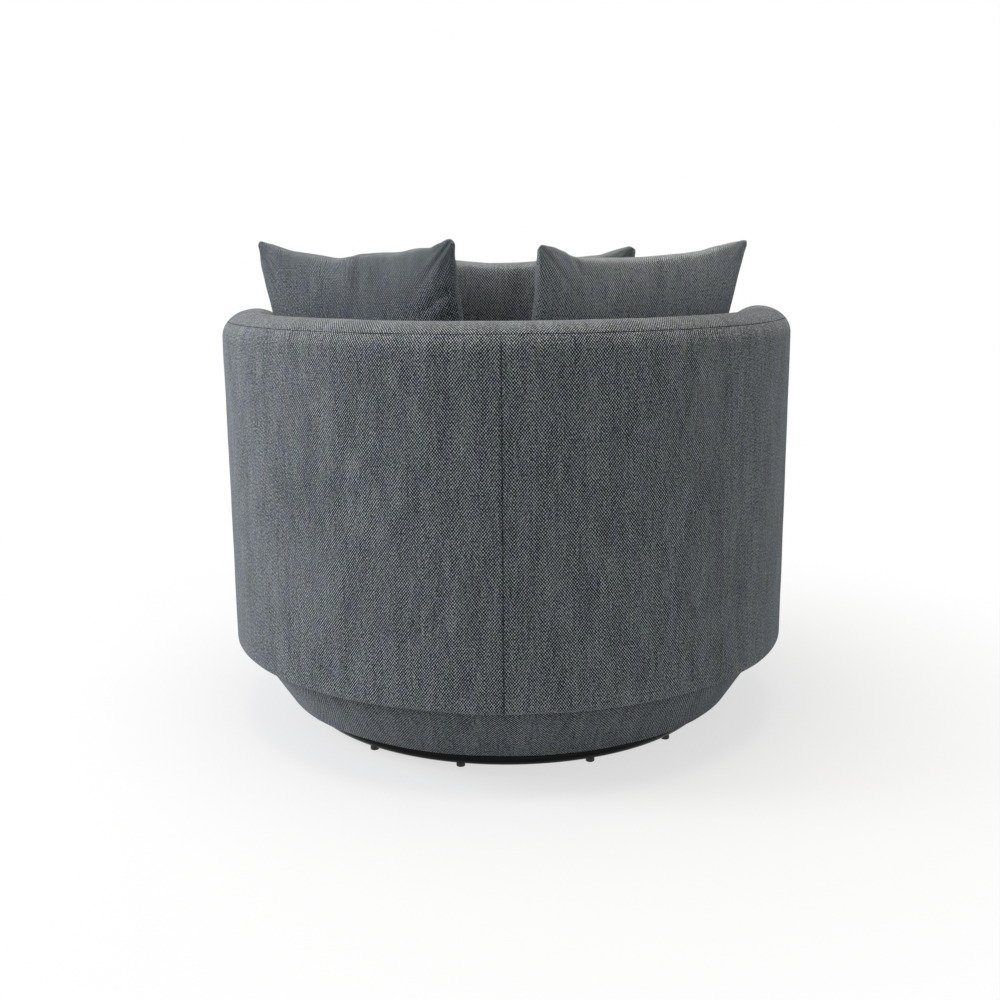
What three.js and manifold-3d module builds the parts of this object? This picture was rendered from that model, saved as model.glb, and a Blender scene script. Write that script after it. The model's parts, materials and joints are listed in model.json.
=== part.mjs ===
// Round swivel cuddle chair: a tub-shaped loveseat that turns on a steel ring base.
// Units are millimetres, +Z is up. The origin is on the floor, on the swivel axis.
// The seat faces -Y, so the middle of the back is at +Y. Angles round the tub start at the middle
// of the back and grow towards +X.
import * as THREE from "three";
import { mergeVertices } from "three/addons/utils/BufferGeometryUtils.js";
import Module from "manifold-3d";

const wasm = await Module();
wasm.setup();

// Driving sizes
const TUB_RADIUS = 550; // outside of the upholstered tub
const RIM_HEIGHT = 797; // crest of the back, above the floor
const ARM_FRONT_HEIGHT = 610; // crest of the arm where it ends
const TUB_BOTTOM = 156; // underside of the tub
const WALL = 110; // thickness of the padded wall at its crest
const CROWN = 47; // height of the rounded top of the wall
const SEAM_DROP = 18; // the seams of the top band lie this far below the crest
const INNER_FOOT_RADIUS = 430; // inside of the wall at the seat, where it is a little thicker
const COVER = 4; // upholstery fabric with its bonded wadding
const GAP = 0.3; // clearance between pieces that lie against each other
const FLATS = 1.6; // clearance between curved pieces whose flats fall at other angles
const SLOPE_START = 88; // degrees from the middle of the back where the arms start to fall
const ARM_END = 137; // degrees from the middle of the back where the arm front begins
const ARM_FRONT_ROUND = 34; // rounding of the arm's front
const FRONT_TOP = 284; // top of the front rail, under the seat cushion
const PLINTH_TOP_RADIUS = 524; // the fabric-covered plinth tapers from the tub down to its foot
const PLINTH_FOOT_RADIUS = 451;
const PLINTH_BOTTOM = 42;
const RING_RADIUS = 400; // centreline of the steel ring on the floor glides
const RING_TUBE = 13; // radius of the ring's tube
const RING_BOTTOM = 6;
const GLIDE_PAIRS = 6; // the twelve glides are set in six pairs
const GLIDE_RADIUS = 8;
const SEAT_TOP = 468; // crown of the seat cushion
const PILLOW_SIZE = 472; // height of a filled pillow, from corner to corner
const PILLOW_FRONT = 78; // how far a filled pillow stands out in front of its seams
const PILLOW_BACK = 42; // and behind them, where it is pressed against what it leans on

const CREST_RADIUS = TUB_RADIUS - WALL / 2;
const INNER_RADIUS = TUB_RADIUS - WALL;
const WALL_STEPS = 34;
const BOARD = 18; // plywood thickness

const radians = THREE.MathUtils.degToRad;

// Materials
function finish(color, roughness, metalness = 0) {
  return new THREE.MeshStandardMaterial({ color, roughness, metalness });
}
const wovenFabric = finish(0x5a5f63, 0.95);
const foam = finish(0xd9cfae, 1.0);
const fibreFill = finish(0xf1f0ea, 1.0);
const plywood = finish(0xc49a67, 0.7);
const fibreboard = finish(0x8a6a45, 0.85);
const blackSteel = finish(0x0b0c0e, 0.3, 0.6);
const zincSteel = finish(0x9ea3a6, 0.35, 0.9);
const springSteel = finish(0x6e7174, 0.4, 0.9);
const blackNylon = finish(0x101010, 0.55);
const dustCloth = finish(0x151517, 1.0);
const zipTape = finish(0x2a2c2e, 0.8);

const chair = new THREE.Group();

function add(name, geometry, material) {
  const mesh = new THREE.Mesh(geometry, material);
  mesh.name = name;
  chair.add(mesh);
  return mesh;
}

// Solids
function toSolid(geometry) {
  const bare = geometry.index ? geometry.toNonIndexed() : geometry.clone();
  bare.deleteAttribute("normal");
  bare.deleteAttribute("uv");
  const merged = mergeVertices(bare, 1e-3);
  const mesh = new wasm.Mesh({
    numProp: 3,
    vertProperties: merged.attributes.position.array,
    triVerts: new Uint32Array(merged.index.array),
  });
  return new wasm.Manifold(mesh);
}

function toGeometry(solid) {
  const mesh = solid.getMesh();
  const geometry = new THREE.BufferGeometry();
  geometry.setAttribute("position", new THREE.BufferAttribute(mesh.vertProperties, mesh.numProp));
  geometry.setIndex(new THREE.BufferAttribute(mesh.triVerts, 1));
  return geometry;
}

function join(...geometries) {
  return toGeometry(geometries.map(toSolid).reduce((a, b) => a.add(b)));
}

function cut(geometry, ...tools) {
  return toGeometry(tools.map(toSolid).reduce((a, b) => a.subtract(b), toSolid(geometry)));
}

// A closed surface from rings of points, each ring a list of THREE.Vector3 with as many points.
function skin(rings, closed = false, capStart = null, capEnd = null) {
  const count = rings[0].length;
  const positions = rings.flat().flatMap((p) => p.toArray());
  const index = [];
  const last = closed ? rings.length : rings.length - 1;
  for (let i = 0; i < last; i++) {
    const j = (i + 1) % rings.length;
    for (let k = 0; k < count; k++) {
      const n = (k + 1) % count;
      const [a, b, c, d] = [i * count + k, i * count + n, j * count + n, j * count + k];
      index.push(a, b, c, a, c, d);
    }
  }
  if (capStart) capStart.forEach(([a, b, c]) => index.push(c, b, a));
  const lastRing = (rings.length - 1) * count;
  if (capEnd) capEnd.forEach(([a, b, c]) => index.push(lastRing + a, lastRing + b, lastRing + c));
  return facingOut(positions, index);
}

// Turns every face round if the surface encloses a negative volume.
function facingOut(positions, index) {
  let volume = 0;
  const [a, b, c] = [new THREE.Vector3(), new THREE.Vector3(), new THREE.Vector3()];
  for (let i = 0; i < index.length; i += 3) {
    a.fromArray(positions, index[i] * 3);
    b.fromArray(positions, index[i + 1] * 3);
    c.fromArray(positions, index[i + 2] * 3);
    volume += a.dot(b.cross(c));
  }
  if (volume < 0) {
    for (let i = 0; i < index.length; i += 3) {
      [index[i + 1], index[i + 2]] = [index[i + 2], index[i + 1]];
    }
  }
  const geometry = new THREE.BufferGeometry();
  geometry.setAttribute("position", new THREE.Float32BufferAttribute(positions, 3));
  geometry.setIndex(index);
  return geometry;
}

// The triangles that fill an outline of [x, y] points, wound the way the outline runs.
function fill(outline) {
  const points = outline.map(([x, y]) => new THREE.Vector2(x, y));
  const triangles = THREE.ShapeUtils.triangulateShape(points, []);
  const windsAlike =
    THREE.ShapeUtils.area(triangles[0].map((k) => points[k])) * THREE.ShapeUtils.area(points) > 0;
  return windsAlike ? triangles : triangles.map(([a, b, c]) => [c, b, a]);
}

// A profile in (radius, height) carried round the swivel axis from one angle to another.
// sectionAt gives the profile's points at an angle in degrees, so the profile may change on the way.
function sweep(sectionAt, from, to, steps) {
  const full = to - from >= 360;
  const rings = [];
  for (let i = 0; i < (full ? steps : steps + 1); i++) {
    const angle = from + ((to - from) * i) / steps;
    const [s, c] = [Math.sin(radians(angle)), Math.cos(radians(angle))];
    rings.push(sectionAt(angle).map(([r, z]) => new THREE.Vector3(r * s, r * c, z)));
  }
  return full ? skin(rings, true) : skin(rings, false, fill(sectionAt(from)), fill(sectionAt(to)));
}

function rectangle(r0, r1, z0, z1) {
  return [[r0, z0], [r1, z0], [r1, z1], [r0, z1]];
}

function box(width, depth, height, x, y, z) {
  return new THREE.BoxGeometry(width, depth, height).translate(x, y, z);
}

function disc(radius, bottom, top, sides = 24) {
  return new THREE.CylinderGeometry(radius, radius, top - bottom, sides)
    .rotateX(Math.PI / 2)
    .translate(0, 0, (top + bottom) / 2);
}

// A profile of [radius, height] points, from the axis back to the axis, turned about it.
function turned(profile, sides) {
  const points = profile.map(([r, z]) => new THREE.Vector2(r, z));
  return new THREE.LatheGeometry(points, sides).rotateX(Math.PI / 2);
}

function torus(radius, tube, height, around, sides) {
  return new THREE.TorusGeometry(radius, tube, sides, around).translate(0, 0, height);
}

// The tub's wall
// Height of the crest: level round the back, then falling along the arms to their fronts.
function crest(angle) {
  const t = THREE.MathUtils.clamp((Math.abs(angle) - SLOPE_START) / (ARM_END - SLOPE_START), 0, 1);
  const fall = t * t * (3 - 2 * t);
  return RIM_HEIGHT - (RIM_HEIGHT - ARM_FRONT_HEIGHT) * fall;
}

// A point on the rounded top of the wall, turn in degrees: 0 outside, 90 the crest, 180 inside.
function crownPoint(turn, height, inset) {
  return [
    CREST_RADIUS + (WALL / 2 - inset) * Math.cos(radians(turn)),
    height - CROWN + (CROWN - inset) * Math.sin(radians(turn)),
  ];
}

function crownArc(from, to, steps, height, inset) {
  const points = [];
  for (let i = 0; i <= steps; i++) {
    points.push(crownPoint(from + ((to - from) * i) / steps, height, inset));
  }
  return points;
}

const SEAM_TURN = THREE.MathUtils.radToDeg(Math.asin((CROWN - SEAM_DROP) / CROWN));
const SEAM_GAP_TURN = 0.5; // half the gap between two panels at a seam, in degrees of turn
const HEM_RADIUS = 480; // the outer cover is turned under the tub as far as this
const BOTTOM_ROUND = 20;

// Outside of the tub from the turned-under hem to just above the bottom corner, set in by inset.
function bottomCorner(inset) {
  const centre = [TUB_RADIUS - BOTTOM_ROUND, TUB_BOTTOM + BOTTOM_ROUND];
  const points = [[HEM_RADIUS, TUB_BOTTOM + inset]];
  for (const turn of [-90, -60, -30, 0]) {
    points.push([
      centre[0] + (BOTTOM_ROUND - inset) * Math.cos(radians(turn)),
      centre[1] + (BOTTOM_ROUND - inset) * Math.sin(radians(turn)),
    ]);
  }
  return points;
}

function shell(pathAt) {
  return (angle) => [...pathAt(angle, 0), ...pathAt(angle, COVER).reverse()];
}

const outerPath = (angle, inset) => [
  ...bottomCorner(inset),
  ...crownArc(0, SEAM_TURN - SEAM_GAP_TURN, 2, crest(angle), inset),
];
const bandPath = (angle, inset) =>
  crownArc(SEAM_TURN + SEAM_GAP_TURN, 180 - SEAM_TURN - SEAM_GAP_TURN, 5, crest(angle), inset);
const innerPath = (angle, inset) => [
  ...crownArc(180 - SEAM_TURN + SEAM_GAP_TURN, 180, 2, crest(angle), inset),
  [INNER_FOOT_RADIUS + inset, SEAT_TOP],
  [INNER_FOOT_RADIUS + inset, FRONT_TOP + GAP],
];

const SEAM_HALF = 0.02; // half the gap at the centre back seam, in degrees
add("outer_cover_left", sweep(shell(outerPath), SEAM_HALF, ARM_END, WALL_STEPS / 2), wovenFabric);
add("outer_cover_right", sweep(shell(outerPath), -ARM_END, -SEAM_HALF, WALL_STEPS / 2), wovenFabric);
add("top_band_cover", sweep(shell(bandPath), -ARM_END, ARM_END, WALL_STEPS), wovenFabric);
add("inner_cover", sweep(shell(innerPath), -ARM_END, ARM_END, WALL_STEPS), wovenFabric);

// Arm fronts: padded caps that close the wall's ends with a rounded edge.
function wallOutline(height, inset) {
  return [
    [INNER_FOOT_RADIUS + inset, FRONT_TOP + GAP],
    [TUB_RADIUS - inset, FRONT_TOP + GAP],
    ...crownArc(0, 180, 8, height, inset),
    [INNER_FOOT_RADIUS + inset, SEAT_TOP],
  ];
}

const CAP_GAP = 0.05; // degrees between the wall's end and the cap
function armFront(side) {
  const height = crest(ARM_END);
  const rings = [0, 0.35, 0.65, 0.88, 1].map((u) => {
    const angle = side * (ARM_END + CAP_GAP + (ARM_FRONT_ROUND * u * 180) / (Math.PI * CREST_RADIUS));
    const inset = ARM_FRONT_ROUND * (1 - Math.sqrt(1 - u * u));
    const [s, c] = [Math.sin(radians(angle)), Math.cos(radians(angle))];
    return wallOutline(height, inset).map(([r, z]) => new THREE.Vector3(r * s, r * c, z));
  });
  return skin(rings, false, fill(wallOutline(height, 0)), fill(wallOutline(height, ARM_FRONT_ROUND)));
}
add("arm_front_left", armFront(1), wovenFabric);
add("arm_front_right", armFront(-1), wovenFabric);

// Front of the tub, below the seat cushion.
const FRONT_ROUND = 16;
const frontPath = (angle, inset) => {
  const centre = [TUB_RADIUS - FRONT_ROUND, FRONT_TOP - FRONT_ROUND];
  return [
    ...bottomCorner(inset),
    ...[0, 30, 60, 90].map((turn) => [
      centre[0] + (FRONT_ROUND - inset) * Math.cos(radians(turn)),
      centre[1] + (FRONT_ROUND - inset) * Math.sin(radians(turn)),
    ]),
    [INNER_FOOT_RADIUS + COVER, FRONT_TOP - inset],
  ];
};
add(
  "front_cover",
  sweep(shell(frontPath), ARM_END + CAP_GAP, 360 - ARM_END - CAP_GAP, 10),
  wovenFabric,
);

// Foam and linings
const FOAM_INSET = COVER + FLATS; // clear of the flats of the cover round the crown
const RAIL_TOP = CROWN + 4; // depth of the top rail's upper face below the crest
add(
  "top_roll_foam",
  sweep((angle) => crownArc(0, 180, 8, crest(angle), FOAM_INSET), -ARM_END, ARM_END, WALL_STEPS),
  foam,
);
const PAD_BACK = 466;
const RIB_FRONT = PAD_BACK + GAP;
const PANEL = 4;
const PANEL_OUTSIDE = TUB_RADIUS - COVER - GAP;
const RIB_BACK = PANEL_OUTSIDE - PANEL - FLATS;
const PAD_BOTTOM = FRONT_TOP + 4;
add(
  "inner_foam",
  sweep(
    (angle) => [
      [INNER_FOOT_RADIUS + FOAM_INSET, PAD_BOTTOM],
      [PAD_BACK, PAD_BOTTOM],
      [PAD_BACK, crest(angle) - RAIL_TOP],
      [INNER_RADIUS + FOAM_INSET, crest(angle) - RAIL_TOP],
      [INNER_FOOT_RADIUS + FOAM_INSET, SEAT_TOP],
    ],
    -ARM_END,
    ARM_END,
    WALL_STEPS,
  ),
  foam,
);
const BASE_BOARD_BOTTOM = TUB_BOTTOM + COVER + GAP;
const BASE_BOARD_TOP = BASE_BOARD_BOTTOM + BOARD;
add(
  "outer_panel",
  sweep(
    (angle) =>
      rectangle(PANEL_OUTSIDE - PANEL, PANEL_OUTSIDE, BASE_BOARD_TOP + GAP, crest(angle) - RAIL_TOP),
    -ARM_END,
    ARM_END,
    WALL_STEPS,
  ),
  fibreboard,
);

// Timber frame of the tub
add(
  "top_rail",
  sweep(
    (angle) => {
      const top = crest(angle) - RAIL_TOP;
      return rectangle(RIB_FRONT, RIB_BACK, top - BOARD, top);
    },
    -ARM_END,
    ARM_END,
    WALL_STEPS,
  ),
  plywood,
);
const RIB_ANGLES = [-130, -78, -26, 26, 78, 130];
const RIB_THICKNESS = 22;
const RIB_HALF = THREE.MathUtils.radToDeg(RIB_THICKNESS / 2 / CREST_RADIUS);
RIB_ANGLES.forEach((at, i) => {
  add(
    `wall_rib_${i + 1}`,
    sweep(
      (angle) =>
        rectangle(RIB_FRONT, RIB_BACK, BASE_BOARD_TOP + GAP, crest(angle) - RAIL_TOP - BOARD - GAP),
      at - RIB_HALF,
      at + RIB_HALF,
      1,
    ),
    plywood,
  );
});

// The board that closes the tub below, its lower edge rounded off inside the cover's corner.
add(
  "tub_base_board",
  turned(
    [
      [0, BASE_BOARD_BOTTOM],
      [TUB_RADIUS - BOTTOM_ROUND - 3, BASE_BOARD_BOTTOM],
      [RIB_BACK, BASE_BOARD_TOP - 4],
      [RIB_BACK, BASE_BOARD_TOP],
      [0, BASE_BOARD_TOP],
    ],
    36,
  ),
  plywood,
);

const SEAT_RING_TOP = 258;
const SEAT_RING_OUTER = PAD_BACK;
add(
  "seat_ring",
  sweep(
    () => rectangle(INNER_FOOT_RADIUS + 2, SEAT_RING_OUTER, BASE_BOARD_TOP + GAP, SEAT_RING_TOP),
    0,
    360,
    36,
  ),
  plywood,
);
add(
  "front_rail",
  sweep(
    () =>
      rectangle(
        SEAT_RING_OUTER + FLATS,
        TUB_RADIUS - COVER - FLATS,
        BASE_BOARD_TOP + GAP,
        FRONT_TOP - FRONT_ROUND,
      ),
    ARM_END + 1,
    359 - ARM_END,
    10,
  ),
  plywood,
);

// Sinuous seat springs: wire bent to and fro in even loops, its ends laid straight on the seat ring.
const SPRING_WIRE = 2.2; // radius
const SPRING_REST = 22; // how far the ends reach over the seat ring
const SPRING_SIDE = 25; // half the width of the loops
const SPRING_LOOP = 24; // length of half a loop along the spring
const SPRING_TAIL = 14; // straight end of the wire
const SPRING_POSITIONS = [-260, -130, 0, 130, 260];
function sinuousSpring(x) {
  const rest = INNER_FOOT_RADIUS + SPRING_REST;
  const reach = Math.sqrt(rest ** 2 - (Math.abs(x) + SPRING_SIDE) ** 2);
  const halfLoops = 2 * Math.floor((reach - SPRING_TAIL) / (2 * SPRING_LOOP));
  const length = reach - SPRING_TAIL;
  const points = [new THREE.Vector3(x, -reach, 0)];
  for (let i = 0; i <= halfLoops * 2; i++) {
    const side = i === 0 || i === halfLoops * 2 ? 0 : [1, 1, -1, -1][i % 4];
    points.push(new THREE.Vector3(x + side * SPRING_SIDE, -length + (i * length) / halfLoops, 0));
  }
  points.push(new THREE.Vector3(x, reach, 0));
  const path = new THREE.CatmullRomCurve3(points, false, "catmullrom", 0.35);
  const wire = new THREE.Shape(
    [0, 1, 2, 3].map((k) => {
      const turn = (k * Math.PI) / 2 + Math.PI / 4;
      return new THREE.Vector2(SPRING_WIRE * Math.cos(turn), SPRING_WIRE * Math.sin(turn));
    }),
  );
  return new THREE.ExtrudeGeometry(wire, {
    steps: Math.round(points.length * 1.5),
    extrudePath: path,
    bevelEnabled: false,
  }).translate(0, 0, SEAT_RING_TOP + SPRING_WIRE + GAP);
}
SPRING_POSITIONS.forEach((x, i) => add(`seat_spring_${i + 1}`, sinuousSpring(x), springSteel));

const DECK_TOP = 281;
const DECK_THICKNESS = 3;
add(
  "seat_deck_cloth",
  disc(INNER_FOOT_RADIUS - 3, DECK_TOP - DECK_THICKNESS, DECK_TOP, 40),
  dustCloth,
);

// Plinth
const HOOP = 5; // thickness of the bent board under the plinth's cover
const PLINTH_TOP = TUB_BOTTOM - GAP;
const PLINTH_SLOPE = (PLINTH_TOP_RADIUS - PLINTH_FOOT_RADIUS) / (PLINTH_TOP - PLINTH_BOTTOM);
const PLINTH_FRAME_BOTTOM = PLINTH_BOTTOM + COVER + GAP;
const PLINTH_FRAME_INSET = COVER + HOOP + 2 * GAP;
const PLINTH_RING = 24; // thickness of the frame's lower ring
const UPRIGHT_WIDTH = 70;
const UPRIGHT_DEPTH = 44;
const UPRIGHT_SUNK = 2; // let into the lower ring

// A point of the tapered wall at a height, set in from its face by a thickness.
function plinthWall(height, inset) {
  const sideways = inset * Math.hypot(1, PLINTH_SLOPE);
  return [PLINTH_FOOT_RADIUS + PLINTH_SLOPE * (height - PLINTH_BOTTOM) - sideways, height];
}

// A ring of the plinth's frame: upright inside, tapered with the wall outside.
function plinthRing(bottom, top) {
  const section = [
    [RING_RADIUS, bottom],
    plinthWall(bottom, PLINTH_FRAME_INSET),
    plinthWall(top, PLINTH_FRAME_INSET),
    [RING_RADIUS, top],
  ];
  return sweep(() => section, 0, 360, 36);
}

const uprightFoot = PLINTH_FRAME_BOTTOM + PLINTH_RING - UPRIGHT_SUNK;
const uprightHead = BASE_BOARD_BOTTOM - GAP;
const plinthUprights = [15, 75, 135, 195, 255, 315].map((turn) =>
  box(UPRIGHT_WIDTH, UPRIGHT_DEPTH, uprightHead - uprightFoot, 0, 0, (uprightHead + uprightFoot) / 2)
    .translate(0, RING_RADIUS + 4 + UPRIGHT_DEPTH / 2, 0)
    .rotateZ(radians(turn)),
);
add(
  "plinth_frame",
  join(
    plinthRing(PLINTH_FRAME_BOTTOM, PLINTH_FRAME_BOTTOM + PLINTH_RING),
    plinthRing(PLINTH_TOP - BOARD, PLINTH_TOP),
    ...plinthUprights,
  ),
  plywood,
);
add(
  "plinth_hoop",
  sweep(
    () => [
      plinthWall(PLINTH_FRAME_BOTTOM, COVER + GAP + HOOP),
      plinthWall(PLINTH_FRAME_BOTTOM, COVER + GAP),
      plinthWall(PLINTH_TOP, COVER + GAP),
      plinthWall(PLINTH_TOP, COVER + GAP + HOOP),
    ],
    0,
    360,
    36,
  ),
  fibreboard,
);
const PLINTH_HEM = 418;
add(
  "plinth_cover",
  sweep(
    () => [
      [PLINTH_HEM, PLINTH_BOTTOM],
      [PLINTH_FOOT_RADIUS - 5, PLINTH_BOTTOM],
      [PLINTH_FOOT_RADIUS, PLINTH_BOTTOM + 1.5],
      plinthWall(PLINTH_BOTTOM + 6, 0),
      plinthWall(PLINTH_TOP, 0),
      plinthWall(PLINTH_TOP, COVER),
      plinthWall(PLINTH_BOTTOM + COVER, COVER),
      [PLINTH_HEM, PLINTH_BOTTOM + COVER],
    ],
    0,
    360,
    36,
  ),
  wovenFabric,
);

// Swivel: a ball race between the steel base and a timber cross that carries the plinth
const BALL_CIRCLE = 62; // radius of the circle that the balls run on
const RACE_HALF = 16; // half the width of the ball race's two rings
const BALL_RADIUS = 4;
const BALL_HEIGHT = 38.5;
const HUB_TOP = 32;
const UPPER_PLATE_BOTTOM = 45;
const UPPER_PLATE_TOP = 48;
const PLATE_SIDE = 170;
const PLATE_THICKNESS = UPPER_PLATE_TOP - UPPER_PLATE_BOTTOM;
const BOLT_OFFSET = 70;
const BOLT_RADIUS = 4;
const BOLT_HEAD_RADIUS = 7.5;
const BOLT_HEAD_HEIGHT = 5;
const CROSS_BOTTOM = UPPER_PLATE_TOP + GAP;
const CROSS_THICKNESS = 25;
const CROSS_TOP = CROSS_BOTTOM + CROSS_THICKNESS;
// Black cloth stapled under the plinth, trimmed round the swivel plate.
const DUST_TOP = PLINTH_BOTTOM - GAP;
const DUST_CLOTH = 1.4;
const DUST_RADIUS = 440;
const DUST_CUT = PLATE_SIDE + 6; // side of the square cut out round the swivel plate
add(
  "dust_cover",
  cut(
    disc(DUST_RADIUS, DUST_TOP - DUST_CLOTH, DUST_TOP, 36),
    box(DUST_CUT, DUST_CUT, 10, 0, 0, DUST_TOP),
  ),
  dustCloth,
);

const boltCorners = [
  [BOLT_OFFSET, BOLT_OFFSET],
  [-BOLT_OFFSET, BOLT_OFFSET],
  [-BOLT_OFFSET, -BOLT_OFFSET],
  [BOLT_OFFSET, -BOLT_OFFSET],
];
const boltHoles = (bottom, top) =>
  boltCorners.map(([x, y]) => disc(BOLT_RADIUS + GAP, bottom - 1, top + 1, 10).translate(x, y, 0));
const CROSS_WIDTH = 190;
const CROSS_END_GAP = 26; // from the ends of the cross to the plinth's frame
const CROSS_LENGTH = 2 * (RING_RADIUS - CROSS_END_GAP);
add(
  "swivel_cross",
  cut(
    join(
      box(CROSS_LENGTH, CROSS_WIDTH, CROSS_THICKNESS, 0, 0, CROSS_BOTTOM + CROSS_THICKNESS / 2),
      box(CROSS_WIDTH, CROSS_LENGTH, CROSS_THICKNESS, 0, 0, CROSS_BOTTOM + CROSS_THICKNESS / 2),
    ),
    ...boltHoles(CROSS_BOTTOM, CROSS_TOP),
  ),
  plywood,
);

const RACE_LIP = 1.5; // half the height between the two rings of the race
const GROOVE_PLAY = 0.9; // clearance of the balls' flats in the groove
const groove = torus(BALL_CIRCLE, BALL_RADIUS + GROOVE_PLAY, BALL_HEIGHT, 24, 8);
add(
  "swivel_upper_plate",
  cut(
    join(
      box(PLATE_SIDE, PLATE_SIDE, PLATE_THICKNESS, 0, 0, UPPER_PLATE_BOTTOM + PLATE_THICKNESS / 2),
      disc(BALL_CIRCLE + RACE_HALF, BALL_HEIGHT + RACE_LIP, UPPER_PLATE_BOTTOM + 0.5, 24),
    ),
    groove,
    disc(BALL_CIRCLE - RACE_HALF, BALL_HEIGHT, UPPER_PLATE_TOP + 1, 24),
    ...boltHoles(UPPER_PLATE_BOTTOM, UPPER_PLATE_TOP),
  ),
  zincSteel,
);
add(
  "swivel_lower_race",
  cut(
    sweep(
      () =>
        rectangle(
          BALL_CIRCLE - RACE_HALF,
          BALL_CIRCLE + RACE_HALF,
          HUB_TOP + GAP,
          BALL_HEIGHT - RACE_LIP,
        ),
      0,
      360,
      24,
    ),
    groove,
  ),
  zincSteel,
);
const BALLS = 8;
const CAGE_HALF_WIDTH = 9;
const CAGE_HALF_THICKNESS = 0.8;
const balls = Array.from({ length: BALLS }, (_, i) => {
  const turn = (i * 2 * Math.PI) / BALLS;
  return new THREE.SphereGeometry(BALL_RADIUS, 8, 5).translate(
    BALL_CIRCLE * Math.cos(turn),
    BALL_CIRCLE * Math.sin(turn),
    BALL_HEIGHT,
  );
});
add(
  "swivel_ball_cage",
  join(
    sweep(
      () =>
        rectangle(
          BALL_CIRCLE - CAGE_HALF_WIDTH,
          BALL_CIRCLE + CAGE_HALF_WIDTH,
          BALL_HEIGHT - CAGE_HALF_THICKNESS,
          BALL_HEIGHT + CAGE_HALF_THICKNESS,
        ),
      0,
      360,
      24,
    ),
    ...balls,
  ),
  zincSteel,
);
boltCorners.forEach(([x, y], i) => {
  const headTop = UPPER_PLATE_BOTTOM - GAP;
  const head = disc(BOLT_HEAD_RADIUS, headTop - BOLT_HEAD_HEIGHT, headTop, 6);
  const shank = disc(BOLT_RADIUS, headTop - 1, CROSS_TOP - 3, 10);
  add(`swivel_bolt_${i + 1}`, join(head, shank).translate(x, y, 0), zincSteel);
});

// Steel base: a ring of tube on four spokes, with a hub plate for the ball race
const RING_HEIGHT = RING_BOTTOM + RING_TUBE;
const SPOKE_WIDTH = 30;
const SPOKE_HEIGHT = 18;
const HUB_RADIUS = 92;
const spokes = [45, 135].map((turn) =>
  box(2 * RING_RADIUS, SPOKE_WIDTH, SPOKE_HEIGHT, 0, 0, RING_HEIGHT + 1).rotateZ(radians(turn)),
);
add(
  "base_frame",
  join(
    torus(RING_RADIUS, RING_TUBE, RING_HEIGHT, 48, 8),
    ...spokes,
    disc(HUB_RADIUS, RING_HEIGHT + 2, HUB_TOP, 24),
  ),
  blackSteel,
);

const GLIDE_PAIR_SPREAD = 13; // degrees from a pair's middle to each glide
const GLIDE_FIRST_PAIR = -36;
const GLIDE_TOP = RING_BOTTOM + 3;
const ringClearance = toSolid(torus(RING_RADIUS, RING_TUBE + GAP, RING_HEIGHT, 48, 8));
for (let pair = 0; pair < GLIDE_PAIRS; pair++) {
  [-1, 1].forEach((side, k) => {
    const angle = radians(GLIDE_FIRST_PAIR + (pair * 360) / GLIDE_PAIRS + side * GLIDE_PAIR_SPREAD);
    const glide = turned(
      [[0, 0], [GLIDE_RADIUS - 1.5, 0], [GLIDE_RADIUS, 2], [GLIDE_RADIUS, GLIDE_TOP], [0, GLIDE_TOP]],
      10,
    ).translate(RING_RADIUS * Math.sin(angle), RING_RADIUS * Math.cos(angle), 0);
    const number = String(pair * 2 + k + 1).padStart(2, "0");
    add(`floor_glide_${number}`, toGeometry(toSolid(glide).subtract(ringClearance)), blackNylon);
  });
}

// Seat cushion: a round boxed cushion whose front fills the opening between the arms
const SEAT_BOTTOM = FRONT_TOP + GAP + 0.2;
const SEAT_CROWN = 22; // the top rises this far above its seam
const SEAT_SEAM = SEAT_TOP - SEAT_CROWN;
const SEAT_EDGE = 14; // the top and bottom seams lie this far inside the bulging side
const SEAT_CORNER = 8; // height of the rounded corner below the top and above the bottom
const SEAT_INSIDE = INNER_FOOT_RADIUS - 5;
const SEAT_FRONT = TUB_RADIUS - 3;
const SEAT_OPENING = 180 - ARM_END - 6.2; // half the front tongue's angle, clear of the arm fronts
const TONGUE_BLEND = 3; // degrees over which the outline steps from the wall to the tongue
const SEAT_CENTRE_Y = -20;
function seatOutline(angle, inset) {
  const fromFront = Math.abs(180 - Math.abs(angle));
  const t = THREE.MathUtils.clamp((SEAT_OPENING + TONGUE_BLEND - fromFront) / TONGUE_BLEND, 0, 1);
  const step = t * t * (3 - 2 * t);
  const radius = SEAT_INSIDE + (SEAT_FRONT - SEAT_INSIDE) * step - inset;
  return [radius * Math.sin(radians(angle)), radius * Math.cos(radians(angle))];
}
const SEAT_STEP = 12; // degrees between the corners of the cushion's outline
const seatAngles = [];
for (let angle = -138; angle <= 138; angle += SEAT_STEP) seatAngles.push(angle);
for (const turn of [0, 0.5, 1]) seatAngles.push(180 - SEAT_OPENING - TONGUE_BLEND * (1 - turn));
for (let i = 1; i < 6; i++) seatAngles.push(180 - SEAT_OPENING + (i * SEAT_OPENING) / 3);
for (const turn of [1, 0.5, 0]) seatAngles.push(180 + SEAT_OPENING + TONGUE_BLEND * (1 - turn));

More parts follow.
